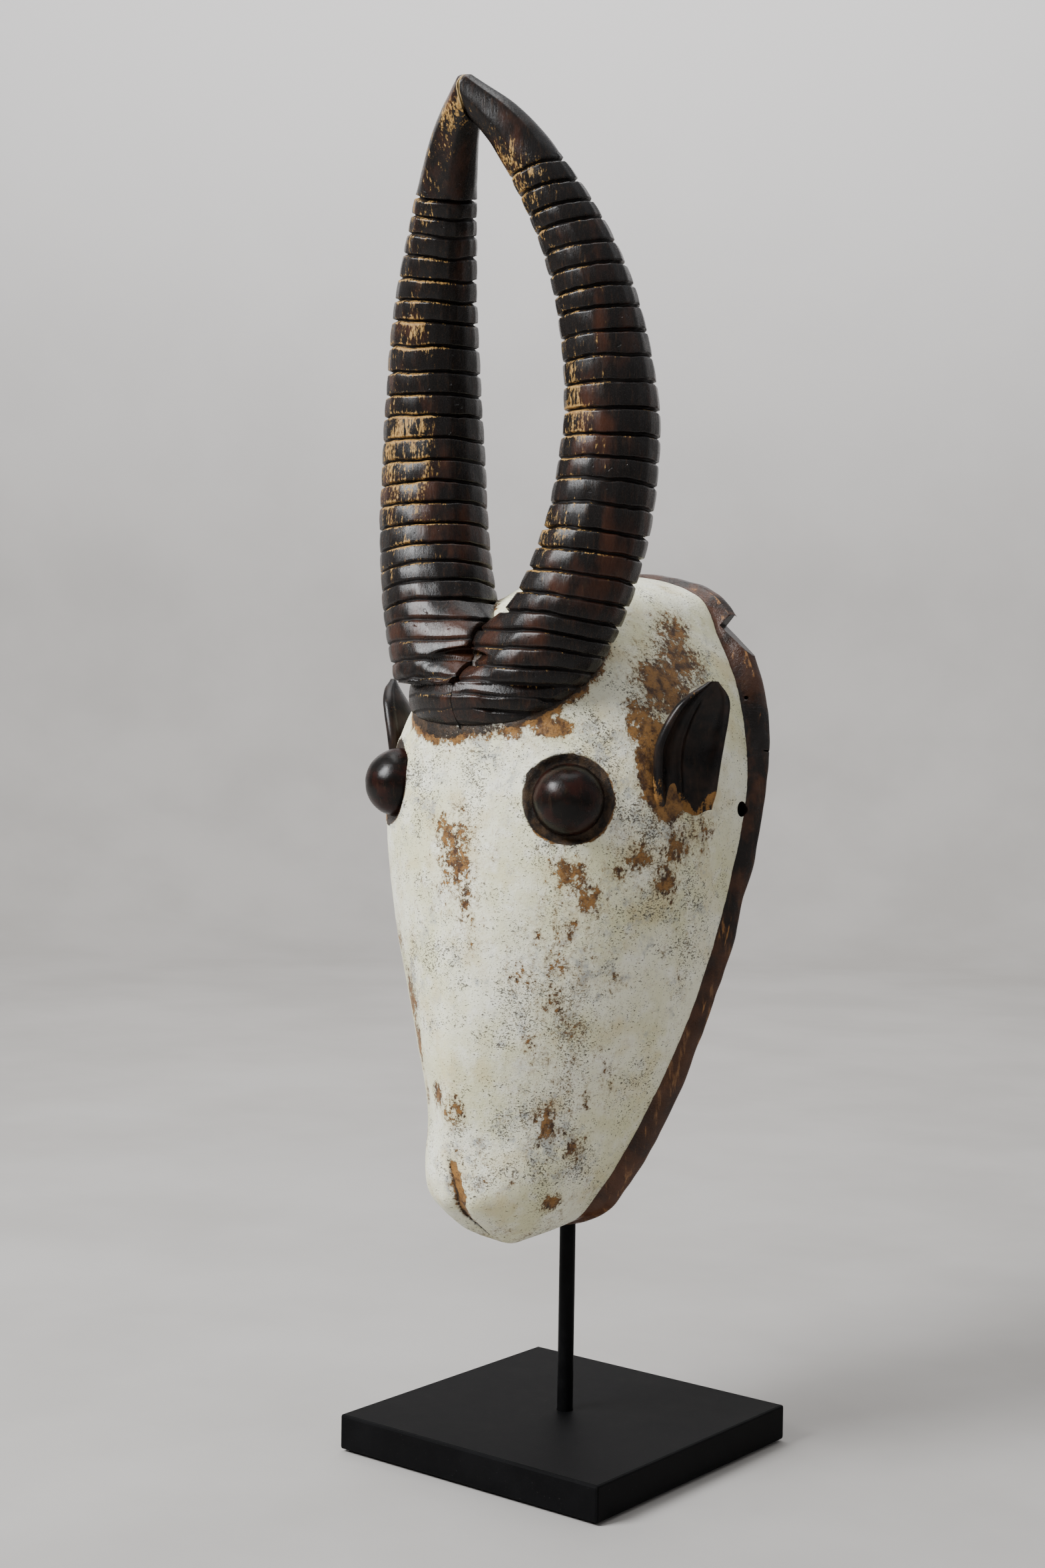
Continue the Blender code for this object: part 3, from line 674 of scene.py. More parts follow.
def rim_chain(edge, way, inner):
    """Points of the rim from the paint edge over the ridge and the back to the inner wall."""
    corners = [edge + way * c[:, :1] + BACK_NORMAL * c[:, 1:] for c in rim_corner_path(edge[:, 2])]
    corners.append(inner)
    corners = np.stack(corners, 1)
    lengths = np.linalg.norm(np.diff(corners, axis=1), axis=2).mean(0)
    along = np.concatenate(([0], np.cumsum(lengths)))
    at = np.linspace(0, along[-1], RIM_STEPS + 2)
    chain = np.empty((len(edge), RIM_STEPS + 2, 3))
    for k, where in enumerate(at):
        leg = min(np.searchsorted(along, where, side="right") - 1, len(along) - 2)
        t = (where - along[leg]) / (along[leg + 1] - along[leg])
        chain[:, k] = corners[:, leg] * (1 - t) + corners[:, leg + 1] * t
    for _ in range(2):
        chain[:, 1:-1] = chain[:, :-2] * 0.25 + chain[:, 1:-1] * 0.5 + chain[:, 2:] * 0.25
    return chain, at / along[-1], along / along[-1]


def head_grid():
    """The whole head as one closed grid, with the zone of each point and where it lies on the rim."""
    levels = even_levels(HEAD_LEVELS)
    turns = np.linspace(0, pi, HEAD_TURNS + 1)
    outer = head_points(levels[:, None], turns[None])
    normal = head_normal(levels[:, None], turns[None], 1e-3)
    for end in (0, -1):
        normal[end, :, 0] = 0
        normal[end] = unit(normal[end])
        normal[end] = unit(normal[end] + normal[end, ::-1])
    inner = outer - normal * WALL_MM
    middle = np.array((0.0, 0.0, outer[..., 2].mean()))
    chains = []
    for column, mirror in ((0, -1), (-1, 0)):
        line = outer[:, column]
        before = np.vstack((outer[1, mirror], line[:-1]))
        after = np.vstack((line[1:], outer[-2, mirror]))
        way = unit(np.cross(after - before, BACK_NORMAL))
        way *= np.sign(np.sum(way * (line - middle), axis=1))[:, None]
        way[0] = unit(way[0] * (0, 1, 1))
        way[-1] = unit(way[-1] * (0, 1, 1))
        chain, share, marks = rim_chain(line, way, inner[:, column])
        chains.append(chain)
    loop = np.concatenate((outer, chains[1][:, 1:-1], inner[:, ::-1], chains[0][:, 1:-1][:, ::-1]), axis=1)
    count = loop.shape[1]
    share = share[1:-1]
    rim_at = np.concatenate((
        np.zeros(HEAD_TURNS + 1), share, np.ones(HEAD_TURNS + 1), share[::-1],
    ))
    index = np.arange(loop.shape[0] * count).reshape(loop.shape[:2])
    columns = np.arange(count)
    partner = np.minimum(columns, (HEAD_TURNS - columns) % count)
    for end in (0, -1):
        index[end] = index[end, partner]
    faces = grid_faces(index, True)
    used, faces = np.unique(faces, return_inverse=True)
    faces = faces.reshape(-1, 4)[:, ::-1]
    return loop.reshape(-1, 3)[used], faces, np.tile(rim_at, len(levels))[used], marks


def eye_seat(side):
    """Centre of an eye's socket on the face and the way out of it."""
    turn = EYE_TURN if side > 0 else pi - EYE_TURN
    level = np.array([EYE_LEVEL[side]])
    return head_points(level, turn)[0], head_normal(level, turn, 0.01)[0]


def horn_line(side, count):
    """Centre line and radius of a horn, evenly spaced, in millimetres."""
    rows = spline(steered(HORN_ROWS), np.linspace(0, len(HORN_ROWS) - 1, 900))
    along = run_along(rows[:, :3])
    at = np.linspace(0, along[-1], count)
    line = np.stack([np.interp(at, along, rows[:, k]) for k in range(4)], -1)
    line[:, 0] *= side
    line[:, 2] += BOARD_UNDER_MM
    line[:, 3] *= HORN_GIRTH[side]
    return line[:, :3], line[:, 3], at


def horn_clearance(points):
    """Distance from each point to the nearest horn's skin."""
    nearest = np.full(len(points), 1e9)
    for side, _ in SIDES:
        line, radius, _ = horn_line(side, 60)
        for centre, r in zip(line[:28], radius[:28]):
            nearest = np.minimum(nearest, np.linalg.norm(points - centre, axis=1) - r)
    return nearest


# Places where the paint is worn off: x, y, z, radius, how much taller than wide, strength
WORN_PATCHES = (
    (3, -116, 380, 14, 1.7, 0.64),
    (-6, -116, 394, 11, 0.9, 0.58),
    (10, -117, 352, 9, 1.5, 0.52),
    (16, -117, 330, 6, 1.6, 0.40),
    (-2, -115, 408, 6, 1.4, 0.36),
    (70, 6, 516, 13, 1.0, 0.66),
    (82, -2, 500, 16, 1.2, 0.72),
    (86, -26, 482, 18, 1.2, 0.80),
    (91, -50, 458, 12, 1.6, 0.78),
    (96, -56, 430, 8, 2.2, 0.72),
    (55, -94, 455, 11, 0.5, 0.85),
    (34, -106, 451, 10, 0.35, 0.60),
    (8, -110, 451, 10, 0.3, 0.62),
    (-14, -110, 450, 8, 0.5, 0.55),
    (68, -94, 371, 11, 0.8, 0.66),
    (77, -84, 357, 8, 1.2, 0.62),
    (86, -72, 372, 7, 1.2, 0.52),
    (101, -44, 366, 9, 1.5, 0.62),
    (104, -40, 386, 12, 0.9, 0.60),
    (94, -62, 382, 11, 0.8, 0.62),
    (108, -20, 394, 9, 1.6, 0.52),
    (65, -92, 338, 10, 1.2, 0.46),
    (50, -100, 336, 7, 1.3, 0.42),
    (58, -92, 318, 9, 1.6, 0.44),
    (56, -92, 297, 11, 1.3, 0.46),
    (62, -80, 280, 11, 1.0, 0.45),
    (46, -98, 270, 7, 1.6, 0.46),
    (40, -104, 310, 9, 1.1, 0.44),
    (74, -64, 310, 9, 1.3, 0.42),
    (-45, -99, 290, 9, 1.8, 0.72),
    (-39, -99, 264, 7, 1.9, 0.74),
    (-50, -90, 312, 8, 1.2, 0.50),
    (-12, -113, 237, 6, 1.4, 0.62),
    (2, -114, 228, 6, 1.6, 0.66),
    (-30, -100, 232, 6, 1.5, 0.46),
    (46, -82, 224, 7, 2.0, 0.62),
    (54, -66, 206, 8, 1.3, 0.50),
    (74, -56, 243, 6, 2.2, 0.55),
    (62, -66, 236, 6, 1.5, 0.44),
    (43, -73, 173, 7, 0.8, 0.78),
    (30, -96, 186, 6, 0.6, 0.55),
    (-70, -75, 372, 12, 1.2, 0.70),
    (-95, -50, 440, 14, 1.6, 0.85),
    (-84, -20, 492, 15, 1.2, 0.80),
    (-58, -90, 330, 9, 1.4, 0.60),
    (-72, -66, 276, 10, 1.2, 0.55),
    (-100, -30, 352, 10, 1.5, 0.60),
    (-40, -90, 205, 9, 1.2, 0.55),
    (0, 10, 545, 20, 0.8, 0.60),
)
# Wide zones where the paint is thin: x, y, z, radius, how much taller than wide, strength
THIN_ZONES = (
    (60, -85, 330, 27, 1.9, 0.31),
    (56, -82, 262, 26, 1.5, 0.28),
    (88, -60, 380, 28, 1.0, 0.33),
    (5, -116, 372, 28, 1.5, 0.28),
    (48, -78, 218, 22, 1.2, 0.31),
    (10, -112, 196, 24, 0.9, 0.28),
    (-40, -98, 285, 18, 2.4, 0.26),
    (80, -10, 500, 30, 1.0, 0.26),
    (0, -108, 452, 60, 0.25, 0.27),
    (62, -78, 440, 24, 0.9, 0.18),
    (92, -30, 320, 30, 1.4, 0.16),
    (-90, -40, 400, 40, 1.6, 0.24),
    (-60, -70, 250, 30, 1.4, 0.22),
    (50, -60, 165, 24, 0.6, 0.24),
)
# Places with many dark specks: x, y, z, radius, strength
SOOTY_PATCHES = (
    (50, -80, 210, 17, 0.42),
    (38, -90, 226, 14, 0.34),
    (30, -98, 215, 16, 0.24),
    (55, -66, 196, 12, 0.36),
    (60, -82, 428, 22, 0.32),
    (74, -78, 444, 15, 0.36),
    (20, -112, 440, 24, 0.24),
    (94, -58, 398, 19, 0.36),
    (104, -36, 388, 14, 0.38),
    (60, -88, 300, 34, 0.24),
    (84, -62, 350, 26, 0.20),
    (10, -112, 200, 16, 0.32),
    (-30, -110, 420, 20, 0.28),
    (-20, -114, 330, 26, 0.20),
    (-60, -80, 240, 22, 0.30),
    (96, -30, 340, 22, 0.22),
    (80, 0, 488, 17, 0.38),
    (86, -44, 470, 12, 0.36),
    (-38, -100, 300, 20, 0.26),
)


def strongest_patch(points, patches, tall):
    """The strongest patch at each point; with tall, the fifth number stretches a patch in height."""
    strongest = np.zeros(len(points))
    for patch in patches:
        centre, radius = np.array(patch[:3], float), patch[3]
        height = radius * (patch[4] if tall else 1.0)
        away = (points - centre) / (radius, radius, height)
        strongest = np.maximum(strongest, patch[-1] * np.exp(-0.5 * np.sum(away ** 2, axis=1)))
    return strongest


def carve_face(points, outer):
    """Relief of the painted face in millimetres, and its paint layers."""
    move = 0.55 * noise(points, 42, 1) + 0.3 * noise(points, 17, 2) + 0.1 * noise(points, 6, 3)
    x, y, z = points.T
    # upper lip: a groove with its sharp edge on the right, between two soft lobes
    line_x = np.interp(z, (140, 150, 162, 179, 197, 206), (6, 0, -1, 3, -2, -3))
    off_line = x - line_x
    in_lip = smooth(138, 146, z) * (1 - smooth(194, 204, z)) * smooth(-64, -74, y)
    width = np.where(off_line < 0, 2.2, 2.6 + 3.0 * smooth(158, 172, z))
    move -= 2.1 * in_lip * np.exp(-(off_line / width) ** 2)
    move += 1.5 * in_lip * np.exp(-((np.abs(off_line) - 11) / 7) ** 2) * (1 - smooth(172, 186, z))
    # fuller lips below
    move += 4.2 * np.exp(-np.sum(((points - (9, -84, 147)) / (13, 18, 8)) ** 2, axis=1))
    move += 2.0 * np.exp(-np.sum(((points - (-12, -88, 152)) / (10, 16, 8)) ** 2, axis=1))
    ridge = smooth(196, 215, z) * (1 - smooth(330, 400, z)) * smooth(-95, -105, y)
    move += 0.7 * ridge * np.exp(-((x + 2) / 7) ** 2)
    # small pit low on the left cheek
    move -= 1.2 * np.exp(-np.sum(((points - (43, -73, 173)) / 3.2) ** 2, axis=1))
    wear = np.maximum(strongest_patch(points, WORN_PATCHES, True), strongest_patch(points, THIN_ZONES, True))
    soot_and_shade = strongest_patch(points, SOOTY_PATCHES, False)
    wear = np.maximum(wear, 1.1 * in_lip * smooth(152, 164, z) * np.exp(-((off_line - 2.4) / 4.2) ** 2))
    # a thin line of painted shade along the groove's steep wall
    soot_and_shade = np.maximum(soot_and_shade, 0.62 * in_lip * np.exp(-((off_line + 0.8) / 1.2) ** 2))
    under = (1 - smooth(146, 172, z)) * smooth(-104, -80, y)
    wear = np.maximum(wear, 0.30 * under)
    # dirt and painted shadow where the horns stand, and a low bank of wood there
    near_horn = horn_clearance(points)
    bank = np.exp(-(np.maximum(near_horn, 0) / 3.0) ** 2)
    move += 1.3 * bank * outer
    patch = 0.5 + 0.5 * noise(points, 12, 21)
    # painted shadow with dirt: a dark line on the face close round each horn's foot
    line = np.exp(-(np.maximum(near_horn, 0) / 2.2) ** 2)
    soot_and_shade = np.maximum(soot_and_shade, line * (0.5 + 0.55 * patch))
    wear = np.maximum(wear, 0.95 * np.exp(-(np.maximum(near_horn - 1, 0) / 5.0) ** 2) * (0.35 + patch * 0.8))
    # rubbed wood and dark patches round each ear
    for side, _ in SIDES:
        root = np.array((102.0 * side, -45.0, 434.0))
        away = np.linalg.norm((points - root) / (17, 20, 32), axis=1)
        wear = np.maximum(wear, 0.95 * (1 - smooth(0.8, 1.3, away)))
        soot_and_shade = np.maximum(soot_and_shade, 0.50 * (1 - smooth(0.7, 1.35, away)) * patch)
    return move * outer, wear * outer, soot_and_shade * outer


def sink_eyes(points, wear, soot_and_shade, outer):
    """Presses a round socket with an uneven, knife-cut edge into the face under each eye, and paints shade
    into it, less on its lit lower-right side.
    """
    points = points.copy()
    for side, _ in SIDES:
        centre, out = eye_seat(side)
        across = unit(np.cross((0.0, 0.0, 1.0), out))
        up = np.cross(out, across)
        away = points - centre
        u, v, height = away @ across * side, away @ up, away @ out
        radius = np.hypot(u, v)
        angle = np.arctan2(v, u)
        lobes = 0.7 * np.cos(3 * angle + 0.6) + 0.5 * np.cos(5 * angle - 1.0)
        corner = 2.6 * np.exp(-((angle - 2.55) / 0.22) ** 2) + 1.8 * np.exp(-((angle - 0.75) / 0.35) ** 2)
        corner += 1.6 * np.exp(-((angle + 0.85) / 0.4) ** 2)
        edge = 25.3 + lobes + corner
        close = (radius < 36) & (height > -30) & (outer > 0)
        floor = -EYE_SINK_MM + 0.6 + 0.35 * noise(points, 4, 31) + 1.1 * smooth(21.5, 26, radius)
        inside = (1 - smooth(edge - 1.2, edge + 0.9, radius)) * close
        points += out * ((floor - height) * inside)[:, None]
        lip = np.exp(-((radius - edge - 1.6) / 1.5) ** 2) * close
        points += out * (0.7 * lip)[:, None]
        rind = np.exp(-((radius - edge - 0.2) / 1.3) ** 2) * close
        wear[:] = np.maximum(wear, 1.3 * inside)
        # ochre wear round the socket's edge, painted heavier on the lit lower-right side as painted light
        wear[:] = np.maximum(wear, 0.95 * rind * (0.6 + 0.4 * np.cos(angle + 0.7)))
        # painted shade in the socket, darkest on the side away from the light
        lit = 0.5 + 0.5 * np.cos(angle + 0.7)
        dark = (1 - smooth(edge - 0.6, edge + 0.8, radius)) * close
        shade = dark * 1.1 * (1 - 0.8 * lit * smooth(edge - 1.2, edge - 0.2, radius))
        soot_and_shade[:] = np.maximum(soot_and_shade, shade)
        spatter = (1 - smooth(edge, edge + 9, radius)) * close * (0.5 + 0.5 * noise(points, 5, 33))
        soot_and_shade[:] = np.maximum(soot_and_shade, 0.5 * spatter)
    return points


def rim_cutters():
    """Cord holes, a nail hole, two saw nicks and a chipped notch in the rim."""
    made = []
    x, y, z = CORD_HOLE_MM
    wide = 2 * CORD_HOLE_R_MM
    for side, word in SIDES:
        made.append(cutter("cord_hole_" + word, (wide, wide, 60), (x * side, y, z), (1, 0, 0.02), EAR, 40))
    made.append(cutter("nail_hole", (2.4, 2.4, 12), (101, 39, 474), (0.75, -0.6, 0.1), EAR, 16))
    for place, tilt in (((120, 47, 473.5), 0.02), ((124, 37, 442.5), -0.05)):
        nick = cutter("saw_nick", (16, 16, 1.0), place, (tilt, 0.12, 1), EAR)
        made.append(nick)
    made.append(cutter("notch", (20, 30, 9), (87.5, 53, 512.8), (0.62, 0.10, 0.78), EAR))
    return made


def make_head():
    """The carved face in one piece with its rim and hollow, cut through for the cords."""
    points, faces, rim_at, marks = head_grid()
    mesh = bpy.data.meshes.new("probe")
    mesh.from_pydata((points * MM).tolist(), [], [tuple(face) for face in faces])
    _, normals = positions(mesh)
    bpy.data.meshes.remove(mesh)
    outer = (rim_at == 0).astype(float)
    inner = (rim_at == 1).astype(float)
    rim = 1 - outer - inner
    move, wear, soot_and_shade = carve_face(points, outer)
    # knife facets along the rim, gouge marks in the hollow
    move += rim * (0.95 * noise(points, 22, 41) + 0.35 * noise(points, 8, 42))
    gouge = np.abs(noise(points * (1, 1, 0.45), 9, 51))
    move += inner * (1.0 * gouge + 0.5 * noise(points, 30, 52) - 0.5)
    # the rim's two ridges and its inner facet are rubbed
    ridge_line = np.exp(-((rim_at - marks[1]) / 0.035) ** 2)
    ridge_line += 0.8 * np.exp(-((rim_at - marks[2]) / 0.03) ** 2)
    inner_facet = 0.72 * ((rim_at > 0) & (rim_at < marks[1]))
    ridge = rim * np.maximum(ridge_line, inner_facet) * (0.6 + 0.5 * noise(points, 24, 61))
    points = points + normals * move[:, None]
    points = sink_eyes(points, wear, soot_and_shade, outer)
    layers = {"wear": wear, "soot_and_shade": soot_and_shade, "ridge": ridge}
    piece = add_piece(
        "carved_face", "mask", points, faces, (FACE, HOLLOW), layers, ("mask_shell",))
    in_hollow = rim_at[faces].min(axis=1) > marks[2]
    piece.data.polygons.foreach_set("material_index", in_hollow.astype(np.int32))
    cut(piece, rim_cutters())
    points, _ = positions(piece.data)
    behind_edge = (points - (0.0, BACK_Y_MM, BACK_Z_MM)) @ BACK_NORMAL + RIM_DEPTH_MM
    bare = piece.data.attributes.new("bare", "FLOAT", "POINT")
    bare.data.foreach_set("value", smooth(-2.5, 1.0, behind_edge).astype(np.float32))


# ---------------------------------------------------------------- materials in use

FACE = face_material()
HOLLOW = hollow_material()
HORN = horn_material()
EAR = dark_wood("ear_patina", (0.020, 0.012, 0.009), (0.006, 0.005, 0.005), (0.34, 0.17, 0.045), 0.20)
EYE = dark_wood("eye_patina", (0.016, 0.0035, 0.002), (0.0035, 0.0026, 0.002), (0.10, 0.06, 0.025), 0.17)
RAW = plain_wood("raw_wood")
BOARD = lacquer("board_lacquer", (0.0028, 0.0028, 0.0031), (0.006, 0.006, 0.0066), 0.5, 34)
ROD = lacquer("rod_paint", (0.003, 0.003, 0.0032), (0.007, 0.007, 0.0075), 0.4, 12)
ZINC = metal("zinc_plate", (0.55, 0.55, 0.52), 0.28)
FELT = felt_material()
NYLON = nylon_material()


# ---------------------------------------------------------------- horns

def ring_places(length, side):
    """Distances along a horn of the grooves between its rings: close at the foot, wide in the middle."""
    places = []
    at = -22.0
    k = 0
    while at < length - (64 if side > 0 else 62):
        places.append(at)
        share = max(0.0, at / length)
        gap = 9.3 + 5.2 * sin(pi * min(1.0, share / 0.95)) ** 0.9
        uneven = lattice(np.array([k]), np.array([side + 2]), np.array([5]), 71)[0]
        at += gap + 1.5 * uneven
        k += 1
    return np.array(places)


def section_at(points):
    """The upper head's section at each point's height: half width, paint edge, front, fullness; its top."""
    height, *section = head_section(np.linspace(5.0, 10.0, 400))
    return *(np.interp(points[:, 2], height, value) for value in section), height[-1]


def horn_frames(line):
    """Ways along and across a horn at each point of its line, without twist."""
    along = unit(np.gradient(line, axis=0))
    across = np.empty_like(along)
    across[0] = unit(np.cross((0.0, -1.0, 0.0), along[0]))
    for i in range(1, len(along)):
        across[i] = unit(across[i - 1] - along[i] * (across[i - 1] @ along[i]))
    return along, across, np.cross(along, across)


def press_onto_head(points, depth):
    """Moves points that lie inside the head out to a skin at the given depth under its face."""
    half, edge, front, fullness, top = section_at(points)
    forward = (edge - points[:, 1]) / (edge - front)
    across = np.abs(points[:, 0]) / np.maximum(half, 1e-3)
    reach = (across ** fullness + np.maximum(forward, 1e-6) ** fullness) ** (1 / fullness)
    size = np.hypot(points[:, 0], points[:, 1] - edge)
    target = np.maximum(1 / np.maximum(reach, 1e-3) - depth / np.maximum(size, 1.0), 1.0)
    within = (reach < 1) & (forward > 0) & (points[:, 2] < top - 1)
    grow = np.where(within, target, 1.0)
    moved = points.copy()
    moved[:, 0] = points[:, 0] * grow
    moved[:, 1] = edge + (points[:, 1] - edge) * grow
    return np.where(within[:, None], moved, points)


def hold_foot(points):
    """Keeps a horn's foot from hanging below the line where it meets the face."""
    points = points.copy()
    half, edge, front, fullness, _ = section_at(points)
    z = points[:, 2]
    across = np.clip(np.abs(points[:, 0]) / half, 0, 0.999)
    face_y = edge - (edge - front) * (1 - across ** fullness) ** (1 / fullness)
    low = 454.0 + 0.0022 * points[:, 0] ** 2
    most = 17.0 * np.sqrt(np.clip((z - low) / 17.0, 0, 1)) - 3.0
    held = np.maximum(points[:, 1], face_y - most)
    near = (z < 480) & (across < 0.75)
    points[:, 1] = np.where(near, held, points[:, 1])
    return points


def horn_path(side):
    """A horn's line, radius and distance along it; the foot runs on past the middle, the tip is round."""
    line, radius, at = horn_line(side, HORN_STEPS)
    length = at[-1]
    down = unit(line[0] - line[1])
    on = unit(line[-1] - line[-2])
    before = np.linspace(FOOT_RUN_MM, 0, FOOT_STEPS, endpoint=False)
    angles = np.linspace(0, pi / 2 * 0.97, TIP_STEPS + 1)[1:]
    after = TIP_ROUND_MM * np.sin(angles)
    line = np.vstack((line[0] + down * before[:, None], line, line[-1] + on * after[:, None]))
    radius = np.concatenate((np.full(FOOT_STEPS, radius[0]), radius, radius[-1] * np.cos(angles)))
    return line, radius, np.concatenate((-before, at, length + after)), length


def ring_heights(side, line, radius, at, length, along, outward):
    """Where each point of the skin lies among the rings, which are cut on tilted planes."""
    tilt = (0.62 - 0.2 * np.clip(at / length, 0, 1))[:, None]
    plane = unit(along * (1 - tilt) + np.array((0.0, 0.0, 1.0)) * tilt)
    slope = np.sum(outward * plane[:, None], -1) / np.sum(along * plane, -1)[:, None]
    tilted = at[:, None] + slope * radius[:, None]
    # near the face the planes stay parallel
    k = np.searchsorted(at, RINGS_TURN_MM)
    level = unit(along[k] * 0.3 + np.array((-0.05 * side, 0.0, 0.7)))
    skin = line[:, None] + outward * radius[:, None, None]
    parallel = RINGS_TURN_MM + (skin - line[k]) @ level / (along[k] @ level)
    return parallel + (tilted - parallel) * smooth(42, RINGS_TURN_MM, at)[:, None]


def make_horn(side, word):
    """A horn cut with rings, from its foot on the face to its rounded tip."""
    line, radius, at, length = horn_path(side)
    along, across, third = horn_frames(line)
    turn = np.arange(HORN_SIDES) * 2 * pi / HORN_SIDES
    outward = across[:, None] * np.cos(turn)[None, :, None] + third[:, None] * np.sin(turn)[None, :, None]
    ring_at = ring_heights(side, line, radius, at, length, along, outward).reshape(-1)
    flat = (line[:, None] + outward * radius[:, None, None]).reshape(-1, 3)
    outward = outward.reshape(-1, 3)
    radius, at = (np.repeat(values, HORN_SIDES) for values in (radius, at))
    angle = np.tile(turn, len(line))
    ring_at = ring_at + 0.9 * noise(flat, 15, 81 + side) + 0.35 * noise(flat, 5, 83 + side)
    places = ring_places(length, side)
    last = places[-1]
    nearest = np.searchsorted((places[1:] + places[:-1]) / 2, ring_at)
    gap = ring_at - places[nearest]
    uneven = 0.5 + 0.5 * lattice(nearest, nearest * 0 + 3, nearest * 0, 91)
    deep = (2.9 + 1.0 * uneven) * (0.8 + 0.35 * noise(flat, 22, 93 + side))
    slit = np.where(gap > 0, 1 - smooth(0, 1.05, gap), 1 - smooth(0, 2.1, -gap))
    fade = smooth(0, 0.35, radius / 20)
    # each ring is a slightly crowned band with flat knife facets round it
    band = np.searchsorted(places, ring_at)
    low = places[np.clip(band - 1, 0, len(places) - 1)]
    high = places[np.clip(band, 0, len(places) - 1)]
    ringed = (band > 0) & (band < len(places))
    crown = np.where(ringed, np.sin(pi * np.clip((ring_at - low) / np.maximum(high - low, 1), 0, 1)), 0.5)
    phase = lattice(band, band * 0 + 9, band * 0, 95) * pi
    chip = np.abs(np.cos(angle * (15 + band % 4) / 2 + phase))
    relief = 0.45 * crown - 0.34 * (chip - 0.6) * (at <= last) - slit * deep
    relief = relief + 0.22 * noise(flat, 9, 97 + side)
    tip_flat = 0.9 * (np.abs(np.cos(angle * 3 + 0.4)) - 0.65) * smooth(last, last + 12, ring_at)
    relief = relief - tip_flat * np.clip(radius / 14, 0, 1)
    if side < 0:
        knobs = (1 - smooth(18, 52, ring_at)) * smooth(-0.2, 0.7, -outward[:, 1])
        relief = relief + knobs * (1.5 * noise(flat, 7, 99) + 0.7 * crown)
    flat = flat + outward * (relief * fade)[:, None]
    # fuller on the inner side near the foot, so that the horns meet in a crease
    inward = -side * outward[:, 0]
    forward = smooth(-0.5, 0.3, -outward[:, 1])
    flat[:, 0] -= side * 16.0 * np.exp(-((at - 26) / 21) ** 2) * smooth(0.1, 0.7, inward) * forward
    flat[:, 0] -= side * 7.0 * np.exp(-((at - 40) / 20) ** 2) * smooth(0.3, 0.95, inward)
    # wear: tan on the upper edge of each ring, painted heavier on the side facing the window light, alike on
    # both horns
    lip = np.where(gap < 0, np.exp(-((gap + 1.7) / 1.0) ** 2), np.exp(-((gap - 1.4) / 0.8) ** 2) * 0.45)
    lip = lip * (0.7 + 0.8 * noise(flat, 20, 101 + side))
    facing_light = -outward[:, 1] * 0.92 - outward[:, 0] * 0.38
    rub = 0.01 + 0.38 * smooth(-0.3, 0.95, facing_light) + 0.26 * noise(flat, 30, 103 + side)
    rub = rub * (0.25 + 0.75 * smooth(50, 130, ring_at)) + 0.10 * smooth(last - 30, last, ring_at)
    cream = smooth(0.1, 0.8, outward[:, 1]) * (1 - smooth(105, 160, ring_at)) * slit * 1.5
    cream = np.maximum(cream, 0.46 * (1 - smooth(1, 6, np.abs(head_gap(flat)))))
    flat[:, 0] = side * np.maximum(side * flat[:, 0], GAP_MM / 2)
    seam = 0.75 * (1 - smooth(0.3, 2.2, side * flat[:, 0])) * smooth(800, 818, flat[:, 2])
    flat = press_onto_head(hold_foot(flat), 2.5)
    index = np.arange(len(flat)).reshape(len(line), HORN_SIDES)
    faces = [tuple(face) for face in grid_faces(index, True)]
    ends = np.vstack((flat[index[0]].mean(0), flat[index[-1]].mean(0)))
    foot_point, tip_point = len(flat), len(flat) + 1
    for i in range(HORN_SIDES):
        j = (i + 1) % HORN_SIDES
        faces.append((foot_point, index[0, j], index[0, i]))
        faces.append((tip_point, index[-1, i], index[-1, j]))
    flat = np.vstack((flat, ends))
    layers = {"groove": slit * fade, "lip": lip, "rub": rub, "cream": cream, "seam": seam}
    layers = {key: np.append(values, (0.0, 0.0)) for key, values in layers.items()}
    add_piece("ringed_horn_" + word, "mask", flat, faces, (HORN,), layers, ("horn_" + word,))


def head_gap(points):
    """Roughly how far each point stands outside the head's face, level by level."""
    half, edge, front, fullness, top = section_at(points)
    forward = np.maximum(edge - points[:, 1], 0) / (edge - front)
    across = np.abs(points[:, 0]) / np.maximum(half, 1.0)
    reach = (across ** fullness + np.maximum(forward, 1e-6) ** fullness) ** (1 / fullness)
    size = np.hypot(points[:, 0], points[:, 1] - edge)
    gap = size * (1 - 1 / np.maximum(reach, 1e-3))
    return np.where(points[:, 2] > top, points[:, 2] - top + 10, gap)


# ---------------------------------------------------------------- ears and eyes

def round_edge(start, end, way):
    """Points of a half round from each start to each end, bulging along way."""
    middle, half = (start + end) / 2, (end - start) / 2
    reach = np.linalg.norm(half, axis=1, keepdims=True) * 0.9
    turns = pi * np.arange(1, EAR_EDGE + 1) / (EAR_EDGE + 1)
    return np.stack([middle - half * cos(a) + way * reach * sin(a) for a in turns], axis=1)


